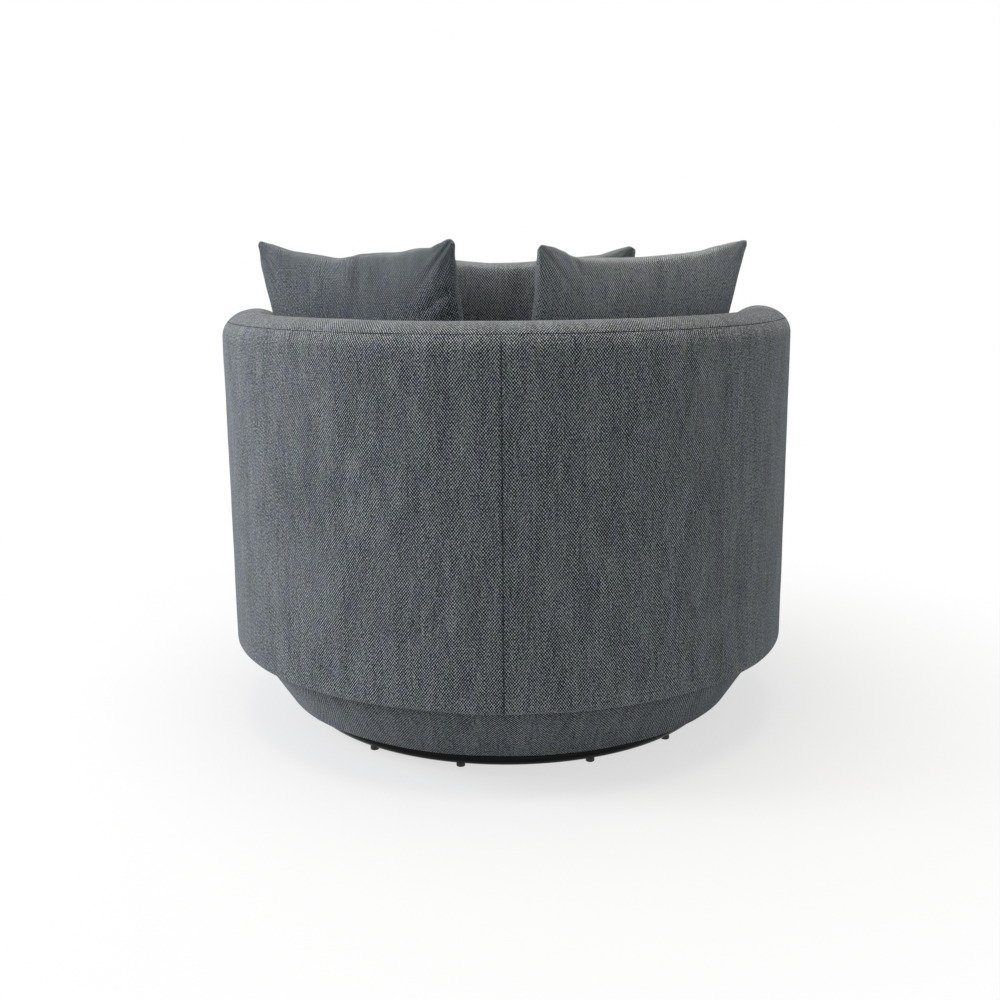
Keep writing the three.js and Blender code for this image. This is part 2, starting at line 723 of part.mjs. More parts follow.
// Rings of the cushion from bottom to top: how far each is set in, as a distance or a share of the
// radius, and its height between bottom (0) and the top seam (1), then the crown above it.
function seatCushion(skinInset) {
  const low = SEAT_BOTTOM + skinInset;
  const high = SEAT_TOP - skinInset;
  const seam = SEAT_SEAM - skinInset;
  const ring = (inset, share, z) =>
    seatAngles.map((angle) => {
      const [x, y] = seatOutline(angle, inset + skinInset);
      return new THREE.Vector3(x * share, SEAT_CENTRE_Y + (y - SEAT_CENTRE_Y) * share, z);
    });
  const rings = [
    ring(SEAT_EDGE, 1, low),
    ring(SEAT_EDGE / 5, 1, low + SEAT_CORNER),
    ring(0, 1, (low + seam) / 2),
    ring(SEAT_EDGE / 5, 1, seam - SEAT_CORNER),
    ring(SEAT_EDGE, 1, seam + SEAT_CORNER / 3),
    ring(SEAT_EDGE, 0.84, high - SEAT_CROWN / 3),
    ring(SEAT_EDGE, 0.5, high - 1),
  ];
  const lid = fill(seatAngles.map((angle) => seatOutline(angle, SEAT_EDGE)));
  return skin(rings, false, lid, lid);
}

const COVER_SKIN = 3; // cushion covers
const ZIP_HEIGHT = (SEAT_BOTTOM + SEAT_SEAM) / 2;
const ZIP_HALF = 2.5; // half the height of the slot for the zip
const ZIP_ANGLE = 30; // the zip reaches this far to each side of the middle
const ZIP_STEPS = (2 * ZIP_ANGLE) / SEAT_STEP;
const zipSlot = sweep(
  () => rectangle(SEAT_INSIDE - 12, SEAT_INSIDE + 4, ZIP_HEIGHT - ZIP_HALF, ZIP_HEIGHT + ZIP_HALF),
  -ZIP_ANGLE,
  ZIP_ANGLE,
  ZIP_STEPS,
);
add("seat_cushion_cover", cut(seatCushion(0), seatCushion(COVER_SKIN), zipSlot), wovenFabric);
add("seat_cushion_core", seatCushion(COVER_SKIN + GAP), foam);
add(
  "seat_cushion_zip",
  sweep(
    () =>
      rectangle(
        SEAT_INSIDE - 2.6,
        SEAT_INSIDE - GAP,
        ZIP_HEIGHT - ZIP_HALF + GAP,
        ZIP_HEIGHT + ZIP_HALF - GAP,
      ),
    -ZIP_ANGLE + 0.1,
    ZIP_ANGLE - 0.1,
    ZIP_STEPS,
  ),
  zipTape,
);

// Scatter pillows: square covers with pulled-out corners, drawn-in sides and a crowned middle. The
// two lower corners are tucked in and the lower edge is nearly straight, because the pillow stands
// on it. In the pillow's own frame, X is its width, Z its height and Y its thickness, to the back.
const EDGE_THICKNESS = 8;
const SPREAD = 1.025; // a standing pillow settles a little wider than it is high
const CORNER_ROUND = 0.07; // radius of its corners, as a share of half the size
// How far the middle of each edge lies inside its corners, as shares of half the size.
const SIDE_DRAW_IN = 0.06;
const TOP_DRAW_IN = 0.105;
const BOTTOM_DRAW_IN = 0.0325;
const TUCK = 0.13; // the lower corners are tucked in by this share of half the size

// How far a point on the square's border moves in to round the square's corners. The share says
// where it lies on its side: 0 in the middle and 1 at the corner.
function cornerPull(share) {
  const inner = 1 - CORNER_ROUND;
  if (share <= inner) return 1;
  const reach = inner * (1 + share);
  const square = 1 + share * share;
  const root = Math.sqrt(reach * reach - square * (2 * inner * inner - CORNER_ROUND * CORNER_ROUND));
  return (reach + root) / square;
}

function pillow(size, front, back, edge, cells) {
  const half = size / 2;
  const at = (u, v, side) => {
    const rise = Math.pow(Math.max(0, (1 - u * u) * (1 - v * v)), 0.42);
    const depth = side < 0 ? front : back;
    const larger = Math.max(Math.abs(u), Math.abs(v), 1e-6);
    const pull = cornerPull(Math.min(Math.abs(u), Math.abs(v)) / larger);
    const width = SPREAD * (1 - SIDE_DRAW_IN * (1 - v * v) - TUCK * Math.max(0, -v) ** 4);
    const height = 1 - (v > 0 ? TOP_DRAW_IN : BOTTOM_DRAW_IN) * (1 - u * u);
    const thickness = edge / 2 + (depth - edge / 2) * rise;
    return [u * pull * half * width, side * thickness, v * pull * half * height];
  };
  const positions = [];
  const index = [];
  const grid = cells + 1;
  for (const side of [-1, 1]) {
    for (let j = 0; j < grid; j++) {
      for (let i = 0; i < grid; i++) {
        // Cells are finer towards the edges, where the crown falls away.
        const u = Math.sin(((i / cells) * 2 - 1) * (Math.PI / 2));
        const v = Math.sin(((j / cells) * 2 - 1) * (Math.PI / 2));
        positions.push(...at(u, v, side));
      }
    }
  }
  const id = (side, i, j) => side * grid * grid + j * grid + i;
  for (let j = 0; j < cells; j++) {
    for (let i = 0; i < cells; i++) {
      index.push(id(0, i, j), id(0, i + 1, j), id(0, i + 1, j + 1));
      index.push(id(0, i, j), id(0, i + 1, j + 1), id(0, i, j + 1));
      index.push(id(1, i, j), id(1, i + 1, j + 1), id(1, i + 1, j));
      index.push(id(1, i, j), id(1, i, j + 1), id(1, i + 1, j + 1));
    }
  }
  const border = [];
  for (let i = 0; i < cells; i++) border.push([i, 0]);
  for (let j = 0; j < cells; j++) border.push([cells, j]);
  for (let i = cells; i > 0; i--) border.push([i, cells]);
  for (let j = cells; j > 0; j--) border.push([0, j]);
  border.forEach(([i, j], k) => {
    const [m, n] = border[(k + 1) % border.length];
    index.push(id(0, i, j), id(1, i, j), id(1, m, n));
    index.push(id(0, i, j), id(1, m, n), id(0, m, n));
  });
  return facingOut(positions, index);
}

const PILLOW_CELLS = 10;
const INSERT_CELLS = 6;
const INSERT_SHARE = 0.955;
const TICKING = 5; // the cover and its lining, at the crown
const SLIT_WIDTH = 260; // opening for the zip, in the lower edge
const SLIT_GAP = 2.4;
function addPillow(name, { turn, reach, middle, lean, roll }) {
  const place = new THREE.Group();
  place.rotation.order = "ZXY";
  place.rotation.set(radians(-lean), radians(roll), radians(-turn));
  place.position.set(reach * Math.sin(radians(turn)), reach * Math.cos(radians(turn)), middle);
  const hollow = (clearance) =>
    pillow(
      PILLOW_SIZE * INSERT_SHARE - 2 * clearance,
      PILLOW_FRONT - TICKING - clearance,
      PILLOW_BACK - TICKING - clearance,
      EDGE_THICKNESS - 2 * clearance,
      INSERT_CELLS,
    );
  const slit = box(SLIT_WIDTH, SLIT_GAP, 60, 0, 0, -PILLOW_SIZE / 2 + 10);
  const cover = new THREE.Mesh(
    cut(pillow(PILLOW_SIZE, PILLOW_FRONT, PILLOW_BACK, EDGE_THICKNESS, PILLOW_CELLS), hollow(0), slit),
    wovenFabric,
  );
  cover.name = `${name}_cover`;
  const insert = new THREE.Mesh(hollow(1), fibreFill);
  insert.name = `${name}_insert`;
  place.add(cover, insert);
  chair.add(place);
}
addPillow("pillow_left", { turn: 39.2, reach: 340, middle: 698, lean: 17, roll: 0.3 });
addPillow("pillow_right", { turn: -39.5, reach: 336, middle: 694, lean: 17, roll: 1.4 });
addPillow("pillow_front", { turn: -5, reach: 98, middle: 691, lean: 24, roll: 1.5 });

export default chair;
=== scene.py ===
# %% [markdown]
# # A round swivel cuddle chair
# The chair is a padded tub on a recessed plinth, which turns on a black steel ring. It carries a
# loose seat cushion and three scatter pillows, all in one grey woven chenille. This lesson dresses
# a finished construction: boards, springs and the ball race come with the frame and stay as they
# are, and everything soft or polished is modelled here around them.

import json
import math

import bpy
from mathutils import Matrix, Vector, noise


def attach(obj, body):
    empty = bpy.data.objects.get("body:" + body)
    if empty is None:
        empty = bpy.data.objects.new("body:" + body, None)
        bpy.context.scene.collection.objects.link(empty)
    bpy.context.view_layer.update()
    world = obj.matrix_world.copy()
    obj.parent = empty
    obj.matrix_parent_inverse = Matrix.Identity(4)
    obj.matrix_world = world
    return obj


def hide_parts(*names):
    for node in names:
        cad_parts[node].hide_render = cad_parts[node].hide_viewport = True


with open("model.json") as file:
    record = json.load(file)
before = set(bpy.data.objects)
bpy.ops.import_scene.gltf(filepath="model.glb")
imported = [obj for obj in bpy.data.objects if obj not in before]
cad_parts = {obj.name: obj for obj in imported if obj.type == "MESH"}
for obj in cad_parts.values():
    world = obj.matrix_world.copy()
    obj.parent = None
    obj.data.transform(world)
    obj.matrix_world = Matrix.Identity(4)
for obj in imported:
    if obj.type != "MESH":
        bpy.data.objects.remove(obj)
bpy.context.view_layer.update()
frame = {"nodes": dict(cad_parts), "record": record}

# %% [markdown]
# ## Sizes
# A tub chair is drawn from a few sizes: how wide and high the tub is, how thick its wall is, and
# where the arms start to fall. Everything else follows from them. Blender works in metres, and
# upholsterers in millimetres, so sizes are written in millimetres and turned here once.
# Angles round the tub are in degrees, from the middle of the back towards +X.

# %% Driving sizes
MM = 0.001
TUB_RADIUS = 550 * MM
RIM_HEIGHT = 797 * MM
ARM_FRONT_HEIGHT = 610 * MM
TUB_BOTTOM = 156 * MM
WALL = 110 * MM
CROWN = 47 * MM  # how high the padding is rounded over the wall
SEAM_DROP = 18 * MM
INNER_FOOT_RADIUS = 430 * MM
SLOPE_START = 88  # degrees from the middle of the back, here and in the next line
ARM_END = 137
ARM_FRONT_ROUND = 34 * MM
FRONT_TOP = 284 * MM
PLINTH_TOP_RADIUS = 524 * MM
PLINTH_FOOT_RADIUS = 451 * MM
PLINTH_BOTTOM = 42 * MM
SEAT_TOP = 468 * MM
CREST_RADIUS = TUB_RADIUS - WALL / 2
GAP = 0.3 * MM  # between one cover and the next


def clamp(value, low=0.0, high=1.0):
    """The value, or the nearer of its two limits."""
    return max(low, min(high, value))


def eased(value):
    """A share from 0 to 1 that starts and ends gently."""
    share = clamp(value)
    return share * share * (3 - 2 * share)


def mix(a, b, share):
    """From a, at a share of 0, to b, at a share of 1."""
    return a + (b - a) * share


def crest(angle):
    """Height of the wall's top: level round the back, then falling along the arms."""
    fall = eased((abs(angle) - SLOPE_START) / (ARM_END - SLOPE_START))
    return mix(RIM_HEIGHT, ARM_FRONT_HEIGHT, fall)


print("crest at the back and at the arm fronts:", crest(0), crest(ARM_END))

# %% [markdown]
# ## The camera
# The picture looks at the back of the chair from a little above its rim, with a normal lens.
# The camera's axes are worked out from where it looks: forward first, then right, then up, and
# a small roll last, because the picture leans by half a degree.

# %% Camera
EYE = Vector((-0.0646, 2.4652, 0.909))
HEADING = Vector((0.0322, -0.9995, 0))
TILT = 0.201  # radians, like the roll
ROLL = -0.008
LENS = 44.4  # millimetres, on a sensor of 36

forward = HEADING.normalized() * math.cos(TILT) - Vector((0, 0, math.sin(TILT)))
level_right = forward.cross(Vector((0, 0, 1))).normalized()
level_up = level_right.cross(forward)
right = level_right * math.cos(ROLL) + level_up * math.sin(ROLL)
up = level_up * math.cos(ROLL) - level_right * math.sin(ROLL)
camera = bpy.data.objects.new("camera", bpy.data.cameras.new("camera"))
camera.data.lens = LENS
camera.data.sensor_width = 36
axes = Matrix((right, up, -forward)).transposed().to_4x4()
camera.matrix_world = Matrix.Translation(EYE) @ axes
bpy.context.scene.collection.objects.link(camera)
bpy.context.scene.camera = camera
print("camera:", round(EYE.xy.length, 2), "m from the swivel axis and", round(EYE.z, 2), "m high")

# %% [markdown]
# ## Nodes and colours
# Every finish below is a small graph of nodes. One function adds a node, sets its options and
# feeds its inputs, and another turns a colour as a screen shows it into the linear colour that
# a renderer adds up.

# %% Helpers for materials


def linear(code):
    """Turns a colour as a screen shows it, such as #c3c8cf, into the renderer's linear one."""
    channels = [int(code[i : i + 2], 16) / 255 for i in (1, 3, 5)]
    return [c / 12.92 if c <= 0.04045 else ((c + 0.055) / 1.055) ** 2.4 for c in channels] + [1.0]


def add_node(tree, kind, inputs=(), stops=(), **options):
    """Adds a shader node. An input is fed by a value, by a socket or by another node's output.
    The stops of a colour ramp are its (place, colour code) pairs."""
    made = tree.nodes.new("ShaderNode" + kind)
    for name, value in options.items():
        setattr(made, name, value)
    for number, (place, code) in enumerate(stops):
        if number > 1:
            made.color_ramp.elements.new(place)
        made.color_ramp.elements[number].position = place
        made.color_ramp.elements[number].color = linear(code)
    for key, value in dict(inputs).items():
        if isinstance(value, bpy.types.Node):
            value = value.outputs[0]
        if isinstance(value, bpy.types.NodeSocket):
            tree.links.new(value, made.inputs[key])
        else:
            made.inputs[key].default_value = value
    return made


def new_material(name, **finish):
    """A material with its shader's plain values set, and its tree and shader to build on."""
    material = bpy.data.materials.new(name)
    material.use_nodes = True
    tree = material.node_tree
    shader = tree.nodes["Principled BSDF"]
    for key, value in finish.items():
        shader.inputs[key.replace("_", " ")].default_value = value
    return material, tree, shader


def coat(tree, shader, pattern, stops, relief=None, depth=0.0, strength=0.5):
    """Colours a surface by a pattern, and raises it by a pattern where it has one."""
    colour = add_node(tree, "ValToRGB", {"Fac": pattern}, stops=stops)
    tree.links.new(colour.outputs[0], shader.inputs["Base Color"])
    if relief is not None:
        height = {"Height": relief, "Distance": depth, "Strength": strength}
        bump = add_node(tree, "Bump", height)
        tree.links.new(bump.outputs[0], shader.inputs["Normal"])


# %% [markdown]
# ## The cloth
# The cover is a chenille woven in a herringbone: a dark warp with a paler, hairy weft that shows
# as small staggered dots, and every column of dots leans the other way. From two metres it reads
# as a fine grey lattice with soft upright streaks, where the pile lies one way or the other.
# The pattern reads the cloth's own UV map, which holds real metres along and across the cloth,
# so that the weave follows every curve at one scale. The dots of this cloth are 3.4 mm apart
# across and 5.2 mm along, which is finer than the picture's points can hold, so they are drawn
# a little coarser, at 4.5 and 5.8 mm.

# %% Woven chenille
DOT_ACROSS = 4.5  # mm, like the other sizes of the weave
DOT_ALONG = 5.8
HERRINGBONE_COLUMN = 25.0
YARN_WANDER = 2.2
MAIN_TWILL = 0.56  # the slanted wave that is stronger than the one that crosses it
DOT_CONTRAST = 0.56
MIDDLE_TONE = 0.595


def woven_chenille():
    """Grey herringbone chenille: thick, soft yarns whose crossings show as dots."""
    material, tree, shader = new_material(
        "woven_chenille",
        Roughness=0.92,
        Specular_IOR_Level=0.18,
        Sheen_Weight=0.35,
        Sheen_Roughness=0.42,
        Sheen_Tint=linear("#c3c8cf"),
    )
    cloth = add_node(tree, "UVMap", uv_map="cloth")
    in_mm = add_node(tree, "VectorMath", {0: cloth, "Scale": 1 / MM}, operation="SCALE")
    # Yarns wander by a few tenths of a millimetre.
    wander = add_node(tree, "TexNoise", {"Vector": in_mm, "Scale": 0.11, "Detail": 1.0})
    drift = {0: wander.outputs["Color"], 1: (0.5, 0.5, 0.5)}
    centred = add_node(tree, "VectorMath", drift, operation="SUBTRACT")
    shift = add_node(tree, "VectorMath", {0: centred, "Scale": YARN_WANDER}, operation="SCALE")
    yarns = add_node(tree, "VectorMath", {0: in_mm, 1: shift}, operation="ADD")
    place = add_node(tree, "SeparateXYZ", {0: yarns})
    # Every second column is a mirror of the one before it, which turns the twill into a herringbone.
    column = {0: place.outputs["X"], 1: HERRINGBONE_COLUMN}
    zigzag = add_node(tree, "Math", column, operation="PINGPONG")
    across = add_node(tree, "Math", {0: zigzag, 1: math.tau / DOT_ACROSS}, operation="MULTIPLY")
    waves = {0: place.outputs["Y"], 1: math.tau / DOT_ALONG}
    along = add_node(tree, "Math", waves, operation="MULTIPLY")
    # Two slanted waves cross, and their crests are the dots. The stronger one sets the slant.
    rising = add_node(tree, "Math", {0: across, 1: along}, operation="ADD")
    falling = add_node(tree, "Math", {0: across, 1: along}, operation="SUBTRACT")
    rising_light = add_node(tree, "Math", {0: rising}, operation="COSINE")
    falling_light = add_node(tree, "Math", {0: falling}, operation="COSINE")
    main_twill = add_node(tree, "Math", {0: rising_light, 1: MAIN_TWILL}, operation="MULTIPLY")
    cross = {0: falling_light, 1: 1 - MAIN_TWILL, 2: main_twill}
    lattice = add_node(tree, "Math", cross, operation="MULTIPLY_ADD")
    # Single yarns are lighter or darker, in lengths of about 4 mm.
    fibre_noise = {"Vector": in_mm, "Scale": 0.24, "Detail": 2.0, "Roughness": 0.6}
    fibre = add_node(tree, "TexNoise", fibre_noise)
    # Upright streaks, 5 mm wide and 50 mm long, where the pile of a yarn lies the other way.
    long_ways = add_node(tree, "VectorMath", {0: in_mm, 1: (0.2, 0.02, 1.0)}, operation="MULTIPLY")
    streak = add_node(tree, "TexNoise", {"Vector": long_ways, "Scale": 1.0, "Detail": 2.0})
    # Clouds, 40 mm wide and 170 mm high, where the pile was brushed by hands.
    brushed = add_node(tree, "VectorMath", {0: in_mm, 1: (0.028, 0.006, 1.0)}, operation="MULTIPLY")
    cloud_noise = {"Vector": brushed, "Scale": 1.0, "Detail": 3.0, "Roughness": 0.55}
    cloud = add_node(tree, "TexNoise", cloud_noise)
    dots = {0: lattice, 1: DOT_CONTRAST, 2: MIDDLE_TONE}
    tone = add_node(tree, "Math", dots, operation="MULTIPLY_ADD")
    for part, share in ((fibre, 1.2), (streak, 0.36), (cloud, 0.32)):
        level = add_node(tree, "Math", {0: part, 1: 0.5}, operation="SUBTRACT")
        tone = add_node(tree, "Math", {0: level, 1: share, 2: tone}, operation="MULTIPLY_ADD")
    # Painted light and shade: each piece says, point by point, how much paler or darker its cloth
    # is painted, for painted shade in the seams and under the tub, a painted highlight along the
    # tub's bottom edge, and painted light that makes some pillows paler or darker.
    painted_light = add_node(tree, "Attribute", attribute_name="painted_light")
    tone = add_node(tree, "Math", {0: tone, 1: painted_light.outputs["Fac"]}, operation="ADD")
    yarn_colours = (
        (0.0, "#06090b"),
        (0.3, "#151c21"),
        (0.55, "#424a51"),
        (0.8, "#838b91"),
        (1.0, "#c4cacd"),
    )
    colour = add_node(tree, "ValToRGB", {"Fac": tone}, stops=yarn_colours)
    # The dye is a little greener or bluer from one patch of a few centimetres to the next.
    dye = add_node(tree, "TexNoise", {"Vector": in_mm, "Scale": 0.028, "Detail": 2.0})
    tints = ((0.35, "#f1f6ee"), (0.5, "#faf6f2"), (0.65, "#f1f1f8"))
    tint = add_node(tree, "ValToRGB", {"Fac": dye}, stops=tints)
    dyed = add_node(
        tree,
        "Mix",
        {"Factor": 1.0, 6: colour, 7: tint},
        data_type="RGBA",
        blend_type="MULTIPLY",
    )
    tree.links.new(dyed.outputs[2], shader.inputs["Base Color"])
    relief = add_node(tree, "Math", {0: fibre, 1: 0.8, 2: lattice}, operation="MULTIPLY_ADD")
    bump = add_node(tree, "Bump", {"Height": relief, "Distance": 0.2 * MM, "Strength": 1.0})
    tree.links.new(bump.outputs[0], shader.inputs["Normal"])
    return material


chenille = woven_chenille()
print("one column of the herringbone:", round(HERRINGBONE_COLUMN / DOT_ACROSS, 1), "dots")

# %% [markdown]
# ## Tools for modelling
# An operator works on what is selected and on the active object, so most steps start by choosing
# one piece and nothing else. These small tools save those lines: they select, name a new piece,
# size it and ease its edges, close a mesh up, smooth it, and apply a modifier. The last one
# finishes a cover, because all of them get the same cloth.

# %% Select, ease, close, smooth


def select_only(*pieces):
    """Selects these objects and nothing else, and makes the first one active."""
    bpy.ops.object.select_all(action="DESELECT")
    for piece in pieces:
        piece.select_set(True)
    bpy.context.view_layer.objects.active = pieces[0]


def named(name):
    """The piece that an operator has just made, with its name on it and on its mesh."""
    piece = bpy.context.object
    piece.name = name
    piece.data.name = name
    return piece


def size_and_ease(bevel, segments, size=(1, 1, 1)):
    """Gives the active primitive its size in edit mode, then bevels its edges."""
    bpy.ops.object.mode_set(mode="EDIT")
    bpy.ops.mesh.select_all(action="SELECT")
    bpy.ops.transform.resize(value=size)
    bpy.ops.mesh.bevel(offset=bevel, segments=segments)
    bpy.ops.object.mode_set(mode="OBJECT")


def close_up(piece, caps=False):
    """Merges the points that lie on each other, fills the open ends if there are caps to make,
    and turns the faces outwards."""
    select_only(piece)
    bpy.ops.object.mode_set(mode="EDIT")
    bpy.ops.mesh.select_all(action="SELECT")
    bpy.ops.mesh.remove_doubles(threshold=0.01 * MM)
    if caps:
        bpy.ops.mesh.fill_holes(sides=0)
    bpy.ops.mesh.normals_make_consistent(inside=False)
    bpy.ops.object.mode_set(mode="OBJECT")


def smooth(piece, degrees=35):
    """Shades the piece smooth, apart from edges sharper than the angle."""
    select_only(piece)
    bpy.ops.object.shade_smooth_by_angle(angle=math.radians(degrees))


def finish_with(piece, kind, **settings):
    """Adds a modifier and applies it."""
    select_only(piece)
    made = piece.modifiers.new(kind.lower(), kind)
    for name, value in settings.items():
        setattr(made, name, value)
    bpy.ops.object.modifier_apply(modifier=made.name)


def upholster(piece, body, *nodes, fill=0.95, sharp=35):
    """Finishes a cover in chenille and hands it over, with the body that carries it and the nodes of
    the construction that it stands for. The share of it that is filled is not used."""
    smooth(piece, sharp)
    piece.data.materials.append(chenille)
    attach(piece, body)
    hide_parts(*nodes)
    print(piece.name + ":", len(piece.data.polygons), "faces")


# %% [markdown]
# ## Sections that are drawn and spun
# The tub's covers are turned forms: one section through the wall, carried round the swivel axis.
# By hand one draws the section as a line of points and spins it, so a cover starts from a single
# point that is extruded from place to place. The spin is done in runs of even steps, small ones
# next to a seam and wide ones between. Then the heights are set, because the crest falls along
# the arms and a plain spin can't know that.

# %% Draw and spin a section


def start_point(name, place):
    """A mesh of one vertex, open in edit mode: a small plane that is merged at its centre."""
    bpy.ops.mesh.primitive_plane_add(size=10 * MM, location=(0, 0, 0))
    piece = named(name)
    bpy.ops.object.mode_set(mode="EDIT")
    bpy.ops.mesh.select_all(action="SELECT")
    bpy.ops.mesh.merge(type="CENTER")
    bpy.ops.transform.translate(value=place)
    return piece


def on_axis(radius, height, angle):
    """The point at a radius and height, at an angle from the middle of the back."""
    turn = math.radians(angle)
    return Vector((radius * math.sin(turn), radius * math.cos(turn), height))


def turn_of(place):
    """The angle of a point from the middle of the back, in degrees."""
    return math.degrees(math.atan2(place.x, place.y))


def spin_section(name, section, start, runs):
    """Draws a section of (radius, height) points at the start angle and spins it through the
    runs, each a (degrees, steps). Every vertex keeps its station, its number along the section."""
    places = [on_axis(r, z, start) for r, z in section]
    piece = start_point(name, places[0])
    for a, b in zip(places, places[1:]):
        bpy.ops.mesh.extrude_region_move(TRANSFORM_OT_translate={"value": b - a})
    bpy.ops.object.mode_set(mode="OBJECT")
    station = piece.data.attributes.new("station", "FLOAT", "POINT")
    for vertex in piece.data.vertices:
        nearest = min(range(len(places)), key=lambda i: (vertex.co - places[i]).length)
        station.data[vertex.index].value = nearest
    bpy.ops.object.mode_set(mode="EDIT")
    bpy.ops.mesh.select_all(action="SELECT")
    for degrees, steps in runs:
        turn = math.radians(degrees)
        bpy.ops.mesh.spin(steps=steps, angle=turn, center=(0, 0, 0), axis=(0, 0, 1))
    full_turn = abs(sum(degrees for degrees, steps in runs) - 360) < 1e-6
    if full_turn:
        bpy.ops.mesh.select_all(action="SELECT")
        bpy.ops.mesh.remove_doubles(threshold=0.01 * MM)
    bpy.ops.object.mode_set(mode="OBJECT")
    return piece


# %% [markdown]
# ## Where a point lies on the cloth
# Once spun, each point is known by its station along the section and its angle round the tub.
# From these two come the length and the width of cloth up to that point, which make the UV map.

# %% Stations and cloth


def stations_of(piece, start):
    """The (station, angle) of every vertex, angles counted up from the start."""
    data = piece.data.attributes["station"].data
    found = []
    for vertex in piece.data.vertices:
        angle = turn_of(vertex.co)
        if angle < start - 1:
            angle += 360
        found.append((round(data[vertex.index].value), angle))
    return found


def lay_cloth(piece, stations, cloth_at):
    """Gives the piece a UV map in metres, from the cloth's own (across, along) lengths."""
    uv = piece.data.uv_layers.new(name="cloth")
    for face in piece.data.polygons:
        angles = [stations[v][1] for v in face.vertices]
        wraps = max(angles) - min(angles) > 180
        for loop in face.loop_indices:
            station, angle = stations[piece.data.loops[loop].vertex_index]
            if wraps and angle < min(angles) + 180:
                angle += 360
            uv.data[loop].uv = cloth_at(station, angle)


def face_away(piece, from_point):
    """Turns all faces so that on the whole they look away from a point."""
    total = 0.0
    for face in piece.data.polygons:
        total += (face.center - from_point(face.center)).dot(face.normal) * face.area
    if total < 0:
        piece.data.flip_normals()


# %% [markdown]
# ## How cloth lies at its edges
# Two panels that are sewn together turn in at the seam, each round a small radius, and the
# thread pulls them into a valley. Next to the thread the cloth puckers a little. On the flats it
# isn't quite even either: the wadding below gives it swells of under a millimetre. The three
# functions here say how far a point is moved in for each of these. The unevenness comes from a
# fixed noise field, so it is the same each time.

# %% Edges, puckers and swells
SEAM_ROLL = 1.9 * MM
SHORT_PULL = 11 * MM  # spacing of the puckers along a seam
LONG_PULL = 30 * MM
PULL_REACH = 9 * MM  # how far they run into the panel
THREAD_HOLD = 1 * MM  # the thread itself holds the cloth still
SWELLS_PER_METRE = (9.0, 23.0)
SHARE_OF_SMALL = 0.5
CLOTH = 1.0 * MM


def roll_depth(distance, radius=SEAM_ROLL):
    """How far the cloth has turned in at a distance from its seam."""
    reach = clamp(1 - distance / radius)
    return radius * (1 - math.sqrt(1 - reach * reach))


def pucker(distance, along, size=0.7 * MM):
    """Small pulls of the sewing thread, which die away from the seam."""
    pull = noise.noise(Vector((along / SHORT_PULL, 3.1, 0)))
    pull += SHARE_OF_SMALL * noise.noise(Vector((along / LONG_PULL, 8.7, 0)))
    fading = math.exp(-distance / PULL_REACH) * (1 - math.exp(-distance / THREAD_HOLD))
    return size * pull * fading


def swell(place, size=0.8 * MM):
    """Slow unevenness of the wadding under the cloth."""
    broad, small = SWELLS_PER_METRE
    return size * (noise.noise(place * broad) + SHARE_OF_SMALL * noise.noise(place * small))


print("deepest pucker of 200 along a metre of seam:", end=" ")
print(round(max(pucker(3 * MM, i / 200) for i in range(200)) / MM, 2), "mm")

# %% [markdown]
# ## Drawing a path
# A path through the wall's section is a list of (radius, height) points, joined from arcs and
# straight runs. It ends with a quarter turn inwards where it meets a seam.

# %% Arcs, straights and rolled ends
ROLL_TURNS = (18, 36, 54, 72, 90)  # degrees of the quarter turn at each of its points


def arc(centre, radii, first, last, steps):
    """Points of (radius, height) on an ellipse, turned from first to last in degrees."""
    turns = [math.radians(mix(first, last, i / steps)) for i in range(steps + 1)]
    return [(centre[0] + radii[0] * math.cos(t), centre[1] + radii[1] * math.sin(t)) for t in turns]


def straight(a, b, steps):
    """Points from a towards b, without a itself."""
    return [(mix(a[0], b[0], i / steps), mix(a[1], b[1], i / steps)) for i in range(1, steps + 1)]


def rolled_on(points, side):
    """Adds the quarter turn inwards that ends a path at a seam. The side is +1 if the path runs
    anticlockwise round the wall's section, so that the inside is on its left."""
    (r0, z0), (r1, z1) = points[-2], points[-1]
    length = math.hypot(r1 - r0, z1 - z0)
    run = ((r1 - r0) / length, (z1 - z0) / length)
    inward = (-run[1] * side, run[0] * side)
    added = []
    for turn in ROLL_TURNS:
        onward = math.sin(math.radians(turn))
        sunk = 1 - math.cos(math.radians(turn))
        r = r1 + SEAM_ROLL * (run[0] * onward + inward[0] * sunk)
        z = z1 + SEAM_ROLL * (run[1] * onward + inward[1] * sunk)
        added.append((r, z))
    return points + added


def inward_at(points, i, side):
    """The direction into the wall at a point of a path."""
    (r0, z0), (r1, z1) = points[max(0, i - 1)], points[min(len(points) - 1, i + 1)]
    length = math.hypot(r1 - r0, z1 - z0)
    return (-(z1 - z0) / length * side, (r1 - r0) / length * side)


def lengths_along(points):
    """The length of cloth from a path's first point to each of its points."""
    total, lengths = 0.0, [0.0]
    for a, b in zip(points, points[1:]):
        total += math.hypot(b[0] - a[0], b[1] - a[1])
        lengths.append(total)
    return lengths


# %% [markdown]
# ## The tub's covers
# Five kinds of panel dress the wall: the outer cover in two halves that meet at the centre back,
# the band over the rounded top, the inner cover, the arm fronts and the front border. Each panel
# is a path through the wall's section at every angle. A spun section gets its points moved onto
# those paths, its ends rolled in at the seams, and then a millimetre of thickness inwards.

# %% Paths of the panels
SEAM_TURN = math.degrees(math.asin((CROWN - SEAM_DROP) / CROWN))
ROLL_TURN = math.degrees(SEAM_ROLL / CROWN)
HEM_RADIUS = 480 * MM
BOTTOM_ROUND = 8 * MM
FRONT_ROUND = 16 * MM
FRONT_TURN_IN = 4 * MM  # how far the front border reaches in under the cushion


def crown_arc(first, last, steps, height):
    """Part of the rounded top, in degrees from the outer side (0) to the inner side (180)."""
    return arc((CREST_RADIUS, height - CROWN), (WALL / 2, CROWN), first, last, steps)


